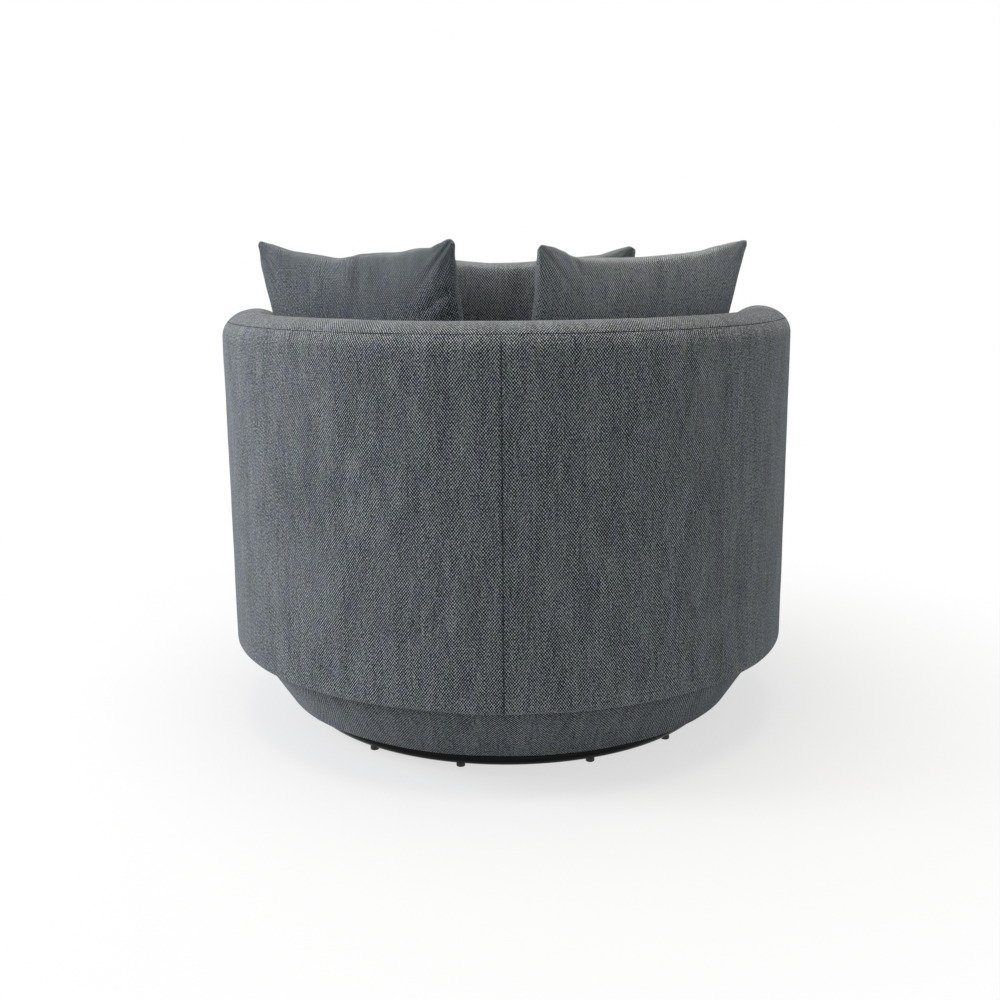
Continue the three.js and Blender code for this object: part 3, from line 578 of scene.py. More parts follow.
def bottom_corner():
    """From the hem under the tub round its bottom edge."""
    centre = (TUB_RADIUS - BOTTOM_ROUND, TUB_BOTTOM + BOTTOM_ROUND)
    hem = (HEM_RADIUS, TUB_BOTTOM)
    turned = arc(centre, (BOTTOM_ROUND, BOTTOM_ROUND), -90, 0, 9)
    return [hem] + straight(hem, turned[0], 3) + turned[1:]


def outer_path(angle):
    crown = crown_arc(0, SEAM_TURN - ROLL_TURN, 8, crest(angle))
    corner = bottom_corner()
    return rolled_on(corner + straight(corner[-1], crown[0], 24) + crown[1:], 1)


def band_path(angle):
    over = crown_arc(SEAM_TURN + ROLL_TURN, 180 - SEAM_TURN - ROLL_TURN, 22, crest(angle))
    ended = rolled_on(over, 1)
    return rolled_on(ended[::-1], -1)[::-1]


def inner_path(angle):
    crown = crown_arc(180 - SEAM_TURN + ROLL_TURN, 180, 8, crest(angle))
    seat = (INNER_FOOT_RADIUS, SEAT_TOP)
    foot = (INNER_FOOT_RADIUS, FRONT_TOP + GAP)
    path = crown + straight(crown[-1], seat, 16) + straight(seat, foot, 8)
    return rolled_on(path[::-1], -1)[::-1]


def front_path(angle):
    centre = (TUB_RADIUS - FRONT_ROUND, FRONT_TOP - FRONT_ROUND)
    corner = bottom_corner()
    over = arc(centre, (FRONT_ROUND, FRONT_ROUND), 0, 90, 7)
    back = (INNER_FOOT_RADIUS + FRONT_TURN_IN, FRONT_TOP)
    return corner + straight(corner[-1], over[0], 5) + over[1:] + straight(over[-1], back, 5)


print("cloth from the hem to the top seam:", round(lengths_along(outer_path(0))[-1], 3), "m")

# %% [markdown]
# ## Spinning a panel
# Next to its ends a panel needs short steps, or the rolled edge would be faceted, and between
# them it can do with long ones. Each point also gets a number of painted light: painted shade
# that darkens the seams, and a painted highlight that makes the bottom edge paler.

# %% Spin a panel
EDGE_STEPS = (0.15, 0.3, 0.5, 0.8, 1.25, 2.0, 4.0, 8.0)  # distances from a seam, in mm
# Painted shade darkens the cloth at its seams, and a painted highlight lightens its bottom edge.
SEAM_SHADE = 0.28
SHADE_REACH = 1.2 * MM
BOTTOM_EDGE_HIGHLIGHT = 0.16
HIGHLIGHT_REACH = 4 * MM
INSIDE_WALL = CREST_RADIUS - 8 * MM  # the covers look away from here


def seam_runs(radius):
    """Short spin steps from a seam into the panel, as (degrees, steps)."""
    ends = (0.0,) + EDGE_STEPS
    return [(math.degrees((b - a) * MM / radius), 1) for a, b in zip(ends, ends[1:])]


def paths_of(path, stations):
    """At each angle of a panel, the points of its path and the length of cloth up to each."""
    found = {}
    for station, angle in stations:
        if round(angle, 4) not in found:
            points = path(angle)
            found[round(angle, 4)] = (points, lengths_along(points))
    return found


def lay_on_paths(piece, stations, paths, start, end, seams):
    """Moves the spun points onto the panel's paths, and in where the cloth is held or swells."""
    painted_light = piece.data.attributes.new("painted_light", "FLOAT", "POINT")
    for vertex, (station, angle) in zip(piece.data.vertices, stations):
        points, lengths = paths[round(angle, 4)]
        r, z = points[station]
        inward = inward_at(points, station, 1)
        sideways = math.radians(min(angle - start, end - angle)) * CREST_RADIUS
        to_seam = min(abs(lengths[station] - lengths[s]) for s in seams)
        depth = roll_depth(sideways) + pucker(sideways, z, 0.5 * MM)
        depth += pucker(to_seam, math.radians(angle) * r) + swell(on_axis(r, z, angle))
        # The seams get painted shade and the bottom edge a painted highlight.
        painted_seam_shade = SEAM_SHADE * math.exp(-min(sideways, to_seam) / SHADE_REACH)
        painted_edge_highlight = BOTTOM_EDGE_HIGHLIGHT * math.exp(-(z - TUB_BOTTOM) / HIGHLIGHT_REACH)
        painted_light.data[vertex.index].value = painted_edge_highlight - painted_seam_shade
        vertex.co = on_axis(r + inward[0] * depth, z + inward[1] * depth, angle)


def wall_panel(name, path, start, end, seams, around=1.5):
    """A cover from one angle to another, in steps of about so many degrees around. The seams are
    the stations along the path where the panel is sewn to the next one."""
    edge = seam_runs(CREST_RADIUS)
    middle = end - start - 2 * sum(degrees for degrees, steps in edge)
    runs = edge + [(middle, round(middle / around))] + edge[::-1]
    piece = spin_section(name, path(start), start, runs)
    stations = stations_of(piece, start)
    paths = paths_of(path, stations)
    lay_on_paths(piece, stations, paths, start, end, seams)

    def cloth_at(station, angle):
        return (math.radians(angle) * TUB_RADIUS, paths[round(angle, 4)][1][station])

    lay_cloth(piece, stations, cloth_at)
    highest = RIM_HEIGHT - CROWN
    face_away(piece, lambda at: on_axis(INSIDE_WALL, min(at.z, highest), turn_of(at)))
    finish_with(piece, "SOLIDIFY", thickness=CLOTH, offset=-1, use_even_offset=True)
    return piece


# %% [markdown]
# ## The five kinds of panel
# The outer cover's halves, the band, the inner cover and the front border are all made by the
# same step, each with its own path, its two angles and the stations at which it is sewn.

# %% Make the panels
BACK_SEAM = -0.7  # degrees: the halves meet a few millimetres beside the middle
NEXT_PANEL = 0.05  # degrees between the end of the wall's covers and what closes them
outer_top = len(outer_path(0)) - 1
outer_cover_left = wall_panel("outer_back_left", outer_path, BACK_SEAM, ARM_END, (outer_top,))
outer_cover_right = wall_panel("outer_back_right", outer_path, -ARM_END, BACK_SEAM, (outer_top,))
band_last = len(band_path(0)) - 1
top_band = wall_panel("top_band", band_path, -ARM_END, ARM_END, (0, band_last))
inner_cover = wall_panel("inner_back", inner_path, -ARM_END, ARM_END, (0,))
front_last = len(front_path(180)) - 1
front_start = ARM_END + NEXT_PANEL
front_border = wall_panel(
    "front_border", front_path, front_start, 360 - ARM_END - NEXT_PANEL, (front_last,)
)

upholster(outer_cover_left, "tub", "outer_cover_left")
upholster(outer_cover_right, "tub", "outer_cover_right")
upholster(top_band, "tub", "top_band_cover", "top_roll_foam")
upholster(inner_cover, "tub", "inner_cover", "inner_foam")
upholster(front_border, "tub", "front_cover")

# %% [markdown]
# ## Arm fronts
# Where the wall ends, a panel the shape of its section closes it. Under the panel lies a block
# of foam with rounded edges, so the outline is carried on round the tub for a few degrees and
# drawn in on the way, along a quarter circle. The last ring is then filled and inset twice, and
# its middle is pushed out a little, as the padding does.

# %% Outline of an arm
ROUND_STEPS = 10
PAD_INSET = 7 * MM
PAD_RISES = (0.9 * MM, 0.4 * MM)  # how far the middle of the panel is pushed out at each inset


def arm_outline(inset):
    """The wall's section at the arm's end, drawn in by an inset, once round."""
    height = crest(ARM_END)
    foot = FRONT_TOP + GAP
    inner = (INNER_FOOT_RADIUS + inset, foot)
    outer = (TUB_RADIUS - inset, foot)
    crown = arc((CREST_RADIUS, height - CROWN), (WALL / 2 - inset, CROWN - inset), 0, 180, 20)
    seat = (INNER_FOOT_RADIUS + inset, SEAT_TOP)
    under = [inner] + straight(inner, outer, 6)
    outside = straight(outer, crown[0], 12)
    inside = straight(crown[-1], seat, 5) + straight(seat, inner, 8)[:-1]
    return under + outside + crown[1:] + inside


def round_over(piece, side, start, whole):
    """Draws the spun outline in along a quarter circle, from its start to the whole turn."""
    data = piece.data.attributes["station"].data
    count = len(arm_outline(0))
    for vertex in piece.data.vertices:
        station = round(data[vertex.index].value) % count
        turned = clamp((abs(turn_of(vertex.co)) - start) / whole)
        inset = ARM_FRONT_ROUND * (1 - math.sqrt(max(0, 1 - turned * turned)))
        r, z = arm_outline(inset)[station]
        r += roll_depth(turned * ARM_FRONT_ROUND) * (1 if r < CREST_RADIUS else -1)
        vertex.co = on_axis(r, z, side * (start + turned * whole))


print("outline of an arm:", len(arm_outline(0)), "points")

# %% [markdown]
# ## Closing an arm front
# The last ring of the spun outline is selected by its angle, filled with one face, and inset
# twice with a small rise each time, so that the panel is domed. The cloth of this panel is laid
# over the dome: it is measured from the middle of the wall, and goes on round the rounded edge.

# %% Arm fronts


def dome_over(piece, start, whole):
    """Fills the last ring and pushes its middle out in two insets."""
    select_only(piece)
    bpy.ops.object.mode_set(mode="EDIT")
    bpy.ops.mesh.select_all(action="SELECT")
    bpy.ops.mesh.remove_doubles(threshold=0.02 * MM)
    bpy.ops.mesh.select_all(action="DESELECT")
    bpy.ops.object.mode_set(mode="OBJECT")
    for vertex in piece.data.vertices:
        vertex.select = abs(abs(turn_of(vertex.co)) - start - whole) < 0.01
    bpy.ops.object.mode_set(mode="EDIT")
    bpy.ops.mesh.edge_face_add()
    for rise in PAD_RISES:
        bpy.ops.mesh.inset(thickness=PAD_INSET, depth=rise)
    bpy.ops.mesh.select_all(action="SELECT")
    bpy.ops.mesh.normals_make_consistent(inside=False)
    bpy.ops.object.mode_set(mode="OBJECT")


def lay_over_dome(piece, start):
    """A UV map in metres: across the dome, on round its edge and back along the tub."""
    uv = piece.data.uv_layers.new(name="cloth")
    for face in piece.data.polygons:
        for loop in face.loop_indices:
            at = piece.data.vertices[piece.data.loops[loop].vertex_index].co
            beyond = (abs(turn_of(at)) - start) * math.radians(1) * CREST_RADIUS
            reach = at.xy.length - CREST_RADIUS
            bend = math.copysign(max(0.0, ARM_FRONT_ROUND - beyond), reach)
            uv.data[loop].uv = (reach + bend, at.z)


def arm_front(name, side):
    """The padded end of an arm, on the side of +X (+1) or of -X (-1)."""
    outline = arm_outline(0)
    start = ARM_END + NEXT_PANEL
    share = [math.sin(math.pi / 2 * i / ROUND_STEPS) for i in range(ROUND_STEPS + 1)]
    whole = math.degrees(ARM_FRONT_ROUND / CREST_RADIUS)
    runs = [(side * (b - a) * whole, 1) for a, b in zip(share, share[1:])]
    piece = spin_section(name, outline + outline[:1], side * start, runs)
    round_over(piece, side, start, whole)
    dome_over(piece, start, whole)
    lay_over_dome(piece, start)
    face_away(piece, lambda at: on_axis(CREST_RADIUS, min(at.z, 500 * MM), side * (start - 1)))
    finish_with(piece, "SOLIDIFY", thickness=CLOTH, offset=-1)
    return piece


for name, side in (("left", 1), ("right", -1)):
    upholster(arm_front(f"arm_front_pad_{name}", side), "tub", f"arm_front_{name}")

# %% [markdown]
# ## Plinth cover
# A band of the same cloth goes round the tapered plinth and is turned under its foot. It is one
# spin of a short section, closed on itself.

# %% Plinth cover
PLINTH_HEM = 418 * MM
PLINTH_TOP = TUB_BOTTOM - GAP
PLINTH_ROUND = 7 * MM
# The whole plinth band is painted a touch paler.
PLINTH_PAINTED_LIGHT = 0.01
PAINTED_SHADE_UNDER_TUB = 0.3  # painted shade on the band right below the tub's edge, which shades it
UNDER_TUB_SHADE_REACH = 12 * MM
PLINTH_MIDDLE = 110 * MM  # a height inside the band
ELSEWHERE = Vector((0, 0, 5))  # so that the band's swells aren't those of the tub


def plinth_path():
    """From the hem under the plinth, round its foot and up to the tub."""
    rise, out = PLINTH_TOP - PLINTH_BOTTOM, PLINTH_TOP_RADIUS - PLINTH_FOOT_RADIUS
    slant = math.degrees(math.atan2(out, rise))
    # The turned edge is a round that touches the underside and the slanted wall.
    tangent = PLINTH_ROUND * math.tan(math.radians((90 - slant) / 2))
    middle = (PLINTH_FOOT_RADIUS - tangent, PLINTH_BOTTOM + PLINTH_ROUND)
    corner = arc(middle, (PLINTH_ROUND, PLINTH_ROUND), -90, -slant, 6)
    hem = (PLINTH_HEM, PLINTH_BOTTOM)
    wall = straight(corner[-1], (PLINTH_TOP_RADIUS, PLINTH_TOP), 10)
    return [hem] + straight(hem, corner[0], 3) + corner[1:] + wall


plinth_section = plinth_path()
plinth_cover = spin_section("plinth_band", plinth_section, -180, [(360, 240)])
plinth_stations = stations_of(plinth_cover, -180)
plinth_lengths = lengths_along(plinth_section)
plinth_painted_light = plinth_cover.data.attributes.new("painted_light", "FLOAT", "POINT")
for vertex, (station, angle) in zip(plinth_cover.data.vertices, plinth_stations):
    r, z = plinth_section[station]
    inward = inward_at(plinth_section, station, 1)
    depth = swell(vertex.co + ELSEWHERE, 0.7 * MM)
    depth += pucker(plinth_lengths[station], math.radians(angle) * r)
    # Painted shade darkens the band right below the tub's edge, where the tub shades it.
    painted_shade = PAINTED_SHADE_UNDER_TUB * math.exp(-(PLINTH_TOP - z) / UNDER_TUB_SHADE_REACH)
    plinth_painted_light.data[vertex.index].value = PLINTH_PAINTED_LIGHT - painted_shade
    vertex.co = on_axis(r + inward[0] * depth, z + inward[1] * depth, angle)
lay_cloth(
    plinth_cover,
    plinth_stations,
    lambda station, angle: (math.radians(angle) * PLINTH_FOOT_RADIUS, plinth_lengths[station]),
)
face_away(plinth_cover, lambda at: on_axis(PLINTH_HEM, PLINTH_MIDDLE, turn_of(at)))
finish_with(plinth_cover, "SOLIDIFY", thickness=CLOTH, offset=-1)
upholster(plinth_cover, "tub", "plinth_cover", fill=1.0)

# %% [markdown]
# ## Scatter pillows
# A scatter pillow is two square panels sewn edge to edge and stuffed. The panels can't stretch,
# so when the middle fills, the sides are drawn in and the corners stay out as soft ears. Each
# panel starts as a grid that is laid on the filled form, with finer cells next to the seams. Then
# a short cloth simulation lets the air press the panels out between their fixed seams. Its rest
# shape is the flat panel, which leaves too much cloth along the seams, and it goes into folds.

# %% Pillow form
PILLOW_SIZE = 472 * MM
PANEL_SIZE = 508 * MM  # side of a flat panel, between its seams
PILLOW_FRONT = 78 * MM  # how far the filling stands out in front of the seams
PILLOW_BACK = 42 * MM
FULLNESS = 0.42  # the lower, the sooner the filling reaches its whole depth
EDGE_HALF = 3 * MM
SPREAD = 1.05  # a standing pillow is this much wider than high
CORNER_ROUND = 0.05  # shares of half the pillow's size, here and below
SIDE_DRAW_IN = 0.06
TOP_DRAW_IN = 0.105
BOTTOM_DRAW_IN = 0.0325
TUCK = 0.13  # how far the lower corners are pulled in
PILLOW_CELLS = 60


def corner_pull(share):
    """How far a point on the panel's border moves in, so that the corners are round. The share
    is its place on its side: 0 in the middle, 1 at the corner."""
    inner = 1 - CORNER_ROUND
    if share <= inner:
        return 1.0
    reach, square = inner * (1 + share), 1 + share * share
    beyond = 2 * inner * inner - CORNER_ROUND * CORNER_ROUND
    return (reach + math.sqrt(max(0.0, reach * reach - square * beyond))) / square


def pillow_point(u, v, side, thinner=1.0):
    """A point of the filled pillow, from its place on the flat panel (u and v from -1 to 1) and
    the side: -1 is the front panel, +1 the back panel and 0 the seam."""
    rise = max(0.0, (1 - u * u) * (1 - v * v)) ** FULLNESS
    depth = PILLOW_FRONT if side < 0 else PILLOW_BACK
    larger = max(abs(u), abs(v), 1e-6)
    pull = corner_pull(min(abs(u), abs(v)) / larger) * PILLOW_SIZE / 2
    width = SPREAD * (1 - SIDE_DRAW_IN * (1 - v * v) - TUCK * max(0.0, -v) ** 4)
    height = 1 - (TOP_DRAW_IN if v > 0 else BOTTOM_DRAW_IN) * (1 - u * u)
    thickness = mix(EDGE_HALF, depth, rise) * thinner
    return Vector((u * pull * width, side * thickness, v * pull * height))


def grid_place(i):
    """From a cell's number to its place on the panel, finer towards the seams."""
    even = 2 * i / PILLOW_CELLS - 1
    return mix(even, math.sin(even * math.pi / 2), 0.8)


print("the outermost cells of a panel:", round((grid_place(1) + 1) * PANEL_SIZE / 2 / MM, 1), "mm")

# %% [markdown]
# ## How each pillow slumps
# No two stuffed pillows have the same outline: one has a notch where a hand pressed it, another
# a lifted ear. The top edge of each is given here as heights above or below the even form, in
# millimetres, from one ear (+1) to the other (-1), and its two sides as distances outwards, from
# the top (+1) to the bottom (-1). A few sharp creases start at a seam where the cloth is pushed
# together. They are given as two places on the back panel, and a depth and a width in mm.

# %% Slumped edges
TOP_LINES = {
    "pillow_left": (
        (1, 3), (0.9, 1), (0.67, -5), (0.46, -5), (0.19, -8), (0.08, -4), (-0.06, 2), (-0.25, 3.5),
        (-0.45, 2), (-0.62, 5), (-0.76, 2.5), (-0.86, 7), (-0.93, 10), (-1, 10),
    ),
    "pillow_right": (
        (1, 4), (0.97, 5), (0.92, 5), (0.865, 5), (0.78, 1.5), (0.69, -5), (0.61, -7), (0.49, -7),
        (0.3, -4), (-0.3, -3), (-0.4, -4), (-0.56, -4), (-0.72, -0.5), (-0.855, 0.5), (-1, 0),
    ),
    "pillow_front": (
        (1, 2), (0.9, 3), (0.8, -4), (0.5, 2), (0.35, 2.5), (0.25, 0), (0.1, -3), (-0.13, -3.5),
        (-0.4, -1), (-0.62, -3), (-0.73, -4), (-0.8, 0), (-0.86, 2.5), (-0.93, 4.5), (-1, 0),
    ),
}
SIDE_LINES = {
    "pillow_left": {
        1: ((1, 4), (0.96, 7), (0.75, 18), (0.6, 22), (0.35, 26), (0, 18), (-0.5, 6), (-1, 0)),
        -1: ((1, 10), (0.95, 10), (0.83, 3), (0.6, -4), (0.35, -7), (0, -6), (-0.5, -2), (-1, 0)),
    },
    "pillow_right": {
        1: ((1, 0), (0.85, -2), (0.6, -9), (0.35, -11), (0, -8), (-0.5, -2), (-1, 0)),
        -1: ((1, 3), (0.75, 3), (0.5, 6), (0.35, 7), (0, 5), (-0.5, 0), (-1, 0)),
    },
    "pillow_front": {1: ((1, 0), (-1, 0)), -1: ((1, -6), (0.5, -3), (-1, 0))},
}


def edge_line(knots, place):
    """How far an edge lies beyond the even form at a place along it, between the knots."""
    for (place0, value0), (place1, value1) in zip(knots, knots[1:]):
        if place >= place1:
            return mix(value1, value0, eased((place - place1) / (place0 - place1))) * MM
    return knots[-1][1] * MM


# %% [markdown]
# ## Creases
# A crease is a narrow valley that is deepest at the seam and dies out along its line, between
# two low lips of the cloth that it takes up.

# %% Creases
CREASES = {
    "pillow_left": (
        ((-1.0, 0.66), (-0.7, 0.53), 6.0, 9.0),
        ((-1.0, 0.5), (-0.76, 0.42), 4.5, 8.0),
        ((0.17, 1.0), (0.28, 0.8), 3.5, 9.0),
    ),
    "pillow_right": (((0.7, 1.0), (0.58, 0.8), 4.5, 8.0), ((-0.3, 1.0), (-0.42, 0.84), 2.5, 9.0)),
    "pillow_front": (((-0.62, 1.0), (-0.5, 0.8), 4.0, 10.0), ((0.4, 1.0), (0.3, 0.78), 3.0, 10.0)),
}


def crease_depth(folds, u, v):
    """How far the folds push a point of the back panel in, with a lip on either side."""
    total = 0.0
    half = PILLOW_SIZE / 2
    place = Vector((u, v)) * half
    for seam_end, far_end, depth, width in folds:
        start = Vector(seam_end) * half
        line = Vector(far_end) * half - start
        share = clamp((place - start).dot(line) / line.length_squared)
        away = (place - start - line * share).length / (width * MM)
        valley = 1.6 * math.exp(-away * away * 2) - 0.6 * math.exp(-away * away / 2)
        total += depth * MM * math.sqrt(1 - share) * valley
    return total


for name, folds in CREASES.items():
    print(name, "has", len(folds), "creases, the deepest", max(fold[2] for fold in folds), "mm")

# %% [markdown]
# ## The pillow's two panels
# Two grids lie back to back and are sewn along their border by merging it. Every point keeps its
# column, its row and its side as attributes, so later steps know which point of cloth it is.

# %% Pillow mesh
FLATTER = 0.85  # the mesh starts flatter than the filled form, because the cloth swells out


def pillow_mesh(name):
    """Two grids back to back, sewn along their border. Every vertex keeps its place."""
    halves = []
    for side in (-1, 1):
        bpy.ops.mesh.primitive_grid_add(
            x_subdivisions=PILLOW_CELLS, y_subdivisions=PILLOW_CELLS, size=2, location=(0, 0, side)
        )
        halves.append(bpy.context.object)
    select_only(*halves)
    bpy.ops.object.join()
    bpy.ops.object.transform_apply(location=True, rotation=True, scale=True)
    piece = named(name)
    for layer in list(piece.data.uv_layers):
        piece.data.uv_layers.remove(layer)
    attributes = [piece.data.attributes.new(n, "FLOAT", "POINT") for n in ("column", "row", "side")]
    for vertex in piece.data.vertices:
        column = round((vertex.co.x + 1) * PILLOW_CELLS / 2)
        row = round((vertex.co.y + 1) * PILLOW_CELLS / 2)
        on_seam = column in (0, PILLOW_CELLS) or row in (0, PILLOW_CELLS)
        side = 0 if on_seam else (1 if vertex.co.z > 0 else -1)
        for attribute, value in zip(attributes, (column, row, side)):
            attribute.data[vertex.index].value = value
        vertex.co = pillow_point(grid_place(column), grid_place(row), side, FLATTER)
    close_up(piece)
    return piece


def grid_cells(piece):
    """The (column, row, side) of every vertex."""
    values = [piece.data.attributes[name].data for name in ("column", "row", "side")]
    return [tuple(round(v[i].value) for v in values) for i in range(len(piece.data.vertices))]


# %% [markdown]
# ## Filling a pillow
# The cloth modifier presses the panels out for a moment, without gravity, while the seam stays
# pinned. The flat panels are given as its rest shape, so the spare cloth folds along the seams.
# The result is read from the evaluated mesh, and no point may move further than a cap.

# %% Inflate a pillow
FRAMES = 22
PRESSURE = 4.0
FOLD_CAP = 12 * MM
RUFFLE = 0.8 * MM  # the panels aren't quite flat, or they would fold all alike
CLOTH_SETTINGS = {
    "quality": 6,
    "mass": 0.35,
    "tension_stiffness": 24,
    "compression_stiffness": 16,
    "shear_stiffness": 8,
    "bending_stiffness": 0.25,
    "air_damping": 2.5,
    "use_pressure": True,
    "uniform_pressure_force": PRESSURE,
}


def inflate(piece, seed):
    """Runs the cloth for a moment and keeps what it did, up to a cap for each point."""
    cells = grid_cells(piece)
    start = [v.co.copy() for v in piece.data.vertices]
    piece.shape_key_add(name="filled")
    flat = piece.shape_key_add(name="flat panels")
    for i, (column, row, side) in enumerate(cells):
        u, v = grid_place(column), grid_place(row)
        ruffle = RUFFLE * noise.noise(Vector((u * 9, v * 9, seed + side)))
        flat.data[i].co = Vector((u * PANEL_SIZE / 2, side * MM + ruffle, v * PANEL_SIZE / 2))
    seam = piece.vertex_groups.new(name="seam")
    seam.add([i for i, cell in enumerate(cells) if cell[2] == 0], 1.0, "REPLACE")
    cloth = piece.modifiers.new("cloth", "CLOTH")
    for key, value in CLOTH_SETTINGS.items():
        setattr(cloth.settings, key, value)
    cloth.settings.rest_shape_key = flat
    cloth.settings.vertex_group_mass = "seam"
    cloth.settings.effector_weights.gravity = 0
    cloth.collision_settings.use_collision = False
    cloth.point_cache.frame_start = 1
    cloth.point_cache.frame_end = FRAMES
    scene = bpy.context.scene
    for step in range(1, FRAMES + 1):
        scene.frame_set(step)
    result = piece.evaluated_get(bpy.context.evaluated_depsgraph_get()).to_mesh()
    moved = [v.co.copy() for v in result.vertices]
    piece.modifiers.remove(cloth)
    piece.shape_key_clear()
    piece.vertex_groups.clear()
    scene.frame_set(1)
    furthest = 0.0
    for vertex, a, b in zip(piece.data.vertices, start, moved):
        step = b - a
        furthest = max(furthest, step.length)
        if step.length > FOLD_CAP:
            step = step * (FOLD_CAP / step.length)
        vertex.co = a + step
    print(piece.name, "moved at most", round(furthest * 1000, 1), "mm before the cap")


# %% [markdown]
# ## After the filling
# The filled pillow gets its slumped top and sides, its creases, and a seam that is drawn in with
# small puckers. Only then is the cloth measured for the UV map: along every row and every column
# of the grid from the middle outwards, so that the weave crowds nowhere.

# %% Slump, and measure the cloth
SEAM_DRAW_IN = 2.2 * MM


def slump(piece, name):
    """Moves the top and the sides to their lines, presses the creases in and draws the seam in."""
    for vertex, (column, row, side) in zip(piece.data.vertices, grid_cells(piece)):
        u, v = grid_place(column), grid_place(row)
        near_top = eased((v - 0.35) / 0.65)
        vertex.co.z += edge_line(TOP_LINES[name], u) * near_top
        for end, knots in SIDE_LINES[name].items():
            vertex.co.x += end * edge_line(knots, v) * eased((end * u - 0.2) / 0.8)
        if side > 0:
            vertex.co.y -= crease_depth(CREASES[name], u, v)
        if side == 0:
            inward = -Vector((vertex.co.x, 0, vertex.co.z)).normalized()
            pulled = pucker(3 * MM, (u + 2 * v) * PILLOW_SIZE, 1.2 * MM)
            vertex.co += inward * (SEAM_DRAW_IN + pulled)


def cloth_lengths(piece):
    """The length of cloth from the middle of each row and column to each of its points."""
    place = {}
    for index, (column, row, side) in enumerate(grid_cells(piece)):
        for panel in (side,) if side else (-1, 1):
            place[panel, column, row] = piece.data.vertices[index].co
    middle = PILLOW_CELLS // 2
    lengths = {}
    for panel in (-1, 1):
        for line in range(PILLOW_CELLS + 1):
            for direction in (-1, 1):
                across = along = 0.0
                for step in range(0, middle + 1):
                    at = middle + direction * step
                    before = at - direction if step else at
                    across += (place[panel, at, line] - place[panel, before, line]).length
                    along += (place[panel, line, at] - place[panel, line, before]).length
                    lengths[panel, at, line, "u"] = across * direction
                    lengths[panel, line, at, "v"] = along * direction
    return lengths


def lay_panels(piece):
    """A UV map in metres of cloth. The back panel's lies a metre beside the front panel's."""
    lengths = cloth_lengths(piece)
    uv = piece.data.uv_layers.new(name="cloth")
    cells = grid_cells(piece)
    for face in piece.data.polygons:
        panel = max((cells[v][2] for v in face.vertices), key=abs) or 1
        for loop in face.loop_indices:
            column, row, side = cells[piece.data.loops[loop].vertex_index]
            uv.data[loop].uv = (
                lengths[panel, column, row, "u"] * panel + panel,
                lengths[panel, column, row, "v"],
            )


# %% [markdown]
# ## Standing the pillows up
# Two pillows lean against the back, each turned towards the middle of the seat, and the third
# leans in front of them. Each pillow has its own painted light: the right and front ones are
# painted paler and the left one darker, which evens out how the lamps light them.

# %% Make the pillows


def placed(turn, reach, middle, lean, roll):
    """Where a pillow stands: turned round the tub, leaned back and rolled on its lower edge.
    The reach from the swivel axis and the height of its middle are in millimetres."""
    spot = Matrix.Translation(on_axis(reach * MM, middle * MM, turn))
    turned = Matrix.Rotation(math.radians(-turn), 4, "Z")
    leaned = Matrix.Rotation(math.radians(-lean), 4, "X")
    rolled = Matrix.Rotation(math.radians(roll), 4, "Y")
    return spot @ turned @ leaned @ rolled


PILLOWS = {
    "pillow_left": placed(40.7, 340, 698, 17, -1.0),
    "pillow_right": placed(-39.7, 336, 694, 17, 1.4),
    "pillow_front": placed(-2.5, 98, 691, 24, 1.5),
}
# Painted light: the right and front pillows are painted paler and the left one darker.
PILLOW_PAINTED_LIGHT = {"pillow_left": -0.06, "pillow_right": 0.16, "pillow_front": 0.08}
for number, (name, matrix) in enumerate(PILLOWS.items()):
    pillow = pillow_mesh(name)
    inflate(pillow, 10.0 * number)
    slump(pillow, name)
    lay_panels(pillow)
    finish_with(pillow, "SUBSURF", levels=1, render_levels=1)
    pillow.data.transform(matrix)
    # Each pillow's painted light lies on all its points.
    painted_light = pillow.data.attributes.new("painted_light", "FLOAT", "POINT")
    for vertex in pillow.data.vertices:
        painted_light.data[vertex.index].value = PILLOW_PAINTED_LIGHT[name]
    upholster(pillow, name, f"{name}_cover", f"{name}_insert", fill=0.8, sharp=75)

# %% [markdown]
# ## Seat cushion
# The seat is one boxed cushion: round at the back, with a tongue that fills the opening between
# the arms. Two panels and a border meet in plain seams. Its section is spun round like the tub's,
# then each point is moved out to the outline at its angle. The filling crowns the top panel, the
# border bulges, and creases run into the seams where the cloth is held tight.

# %% Seat cushion form
SEAT_BOTTOM = FRONT_TOP + 0.5 * MM
SEAT_SEAM = 448.5 * MM
SEAT_EDGE = 14 * MM
SEAT_INSIDE = 425 * MM
SEAT_FRONT = TUB_RADIUS - 3 * MM
SEAT_OPENING = 36.8  # degrees from the middle of the front to the tongue's side
TONGUE_BLEND = 3  # degrees in which the outline goes from the round part to the tongue
SEAT_CENTRE = Vector((0, -20 * MM, 0))
CROWN_POWER = 4.5  # the higher, the flatter the middle of the top panel
BULGE_POWER = 7
FROM_SEAM = (0, 0.3, 0.8, 1.4, 2.2, 4, 8, 14, 22, 35, 52, 75)  # rows of points, in mm
FURTHER_IN = (0.3, 0.45, 0.62, 0.8)  # and rows nearer the middle, as shares of the radius


def seat_radius(angle):
    """How far the cushion's outline lies from the swivel axis at an angle."""
    from_front = abs(180 - abs(angle))
    into_tongue = (SEAT_OPENING + TONGUE_BLEND - from_front) / TONGUE_BLEND
    return mix(SEAT_INSIDE, SEAT_FRONT, eased(into_tongue))


def seat_crown(share):
    """Height of the top panel at a share of the way from the middle to the seam."""
    return SEAT_TOP - (SEAT_TOP - SEAT_SEAM) * share**CROWN_POWER


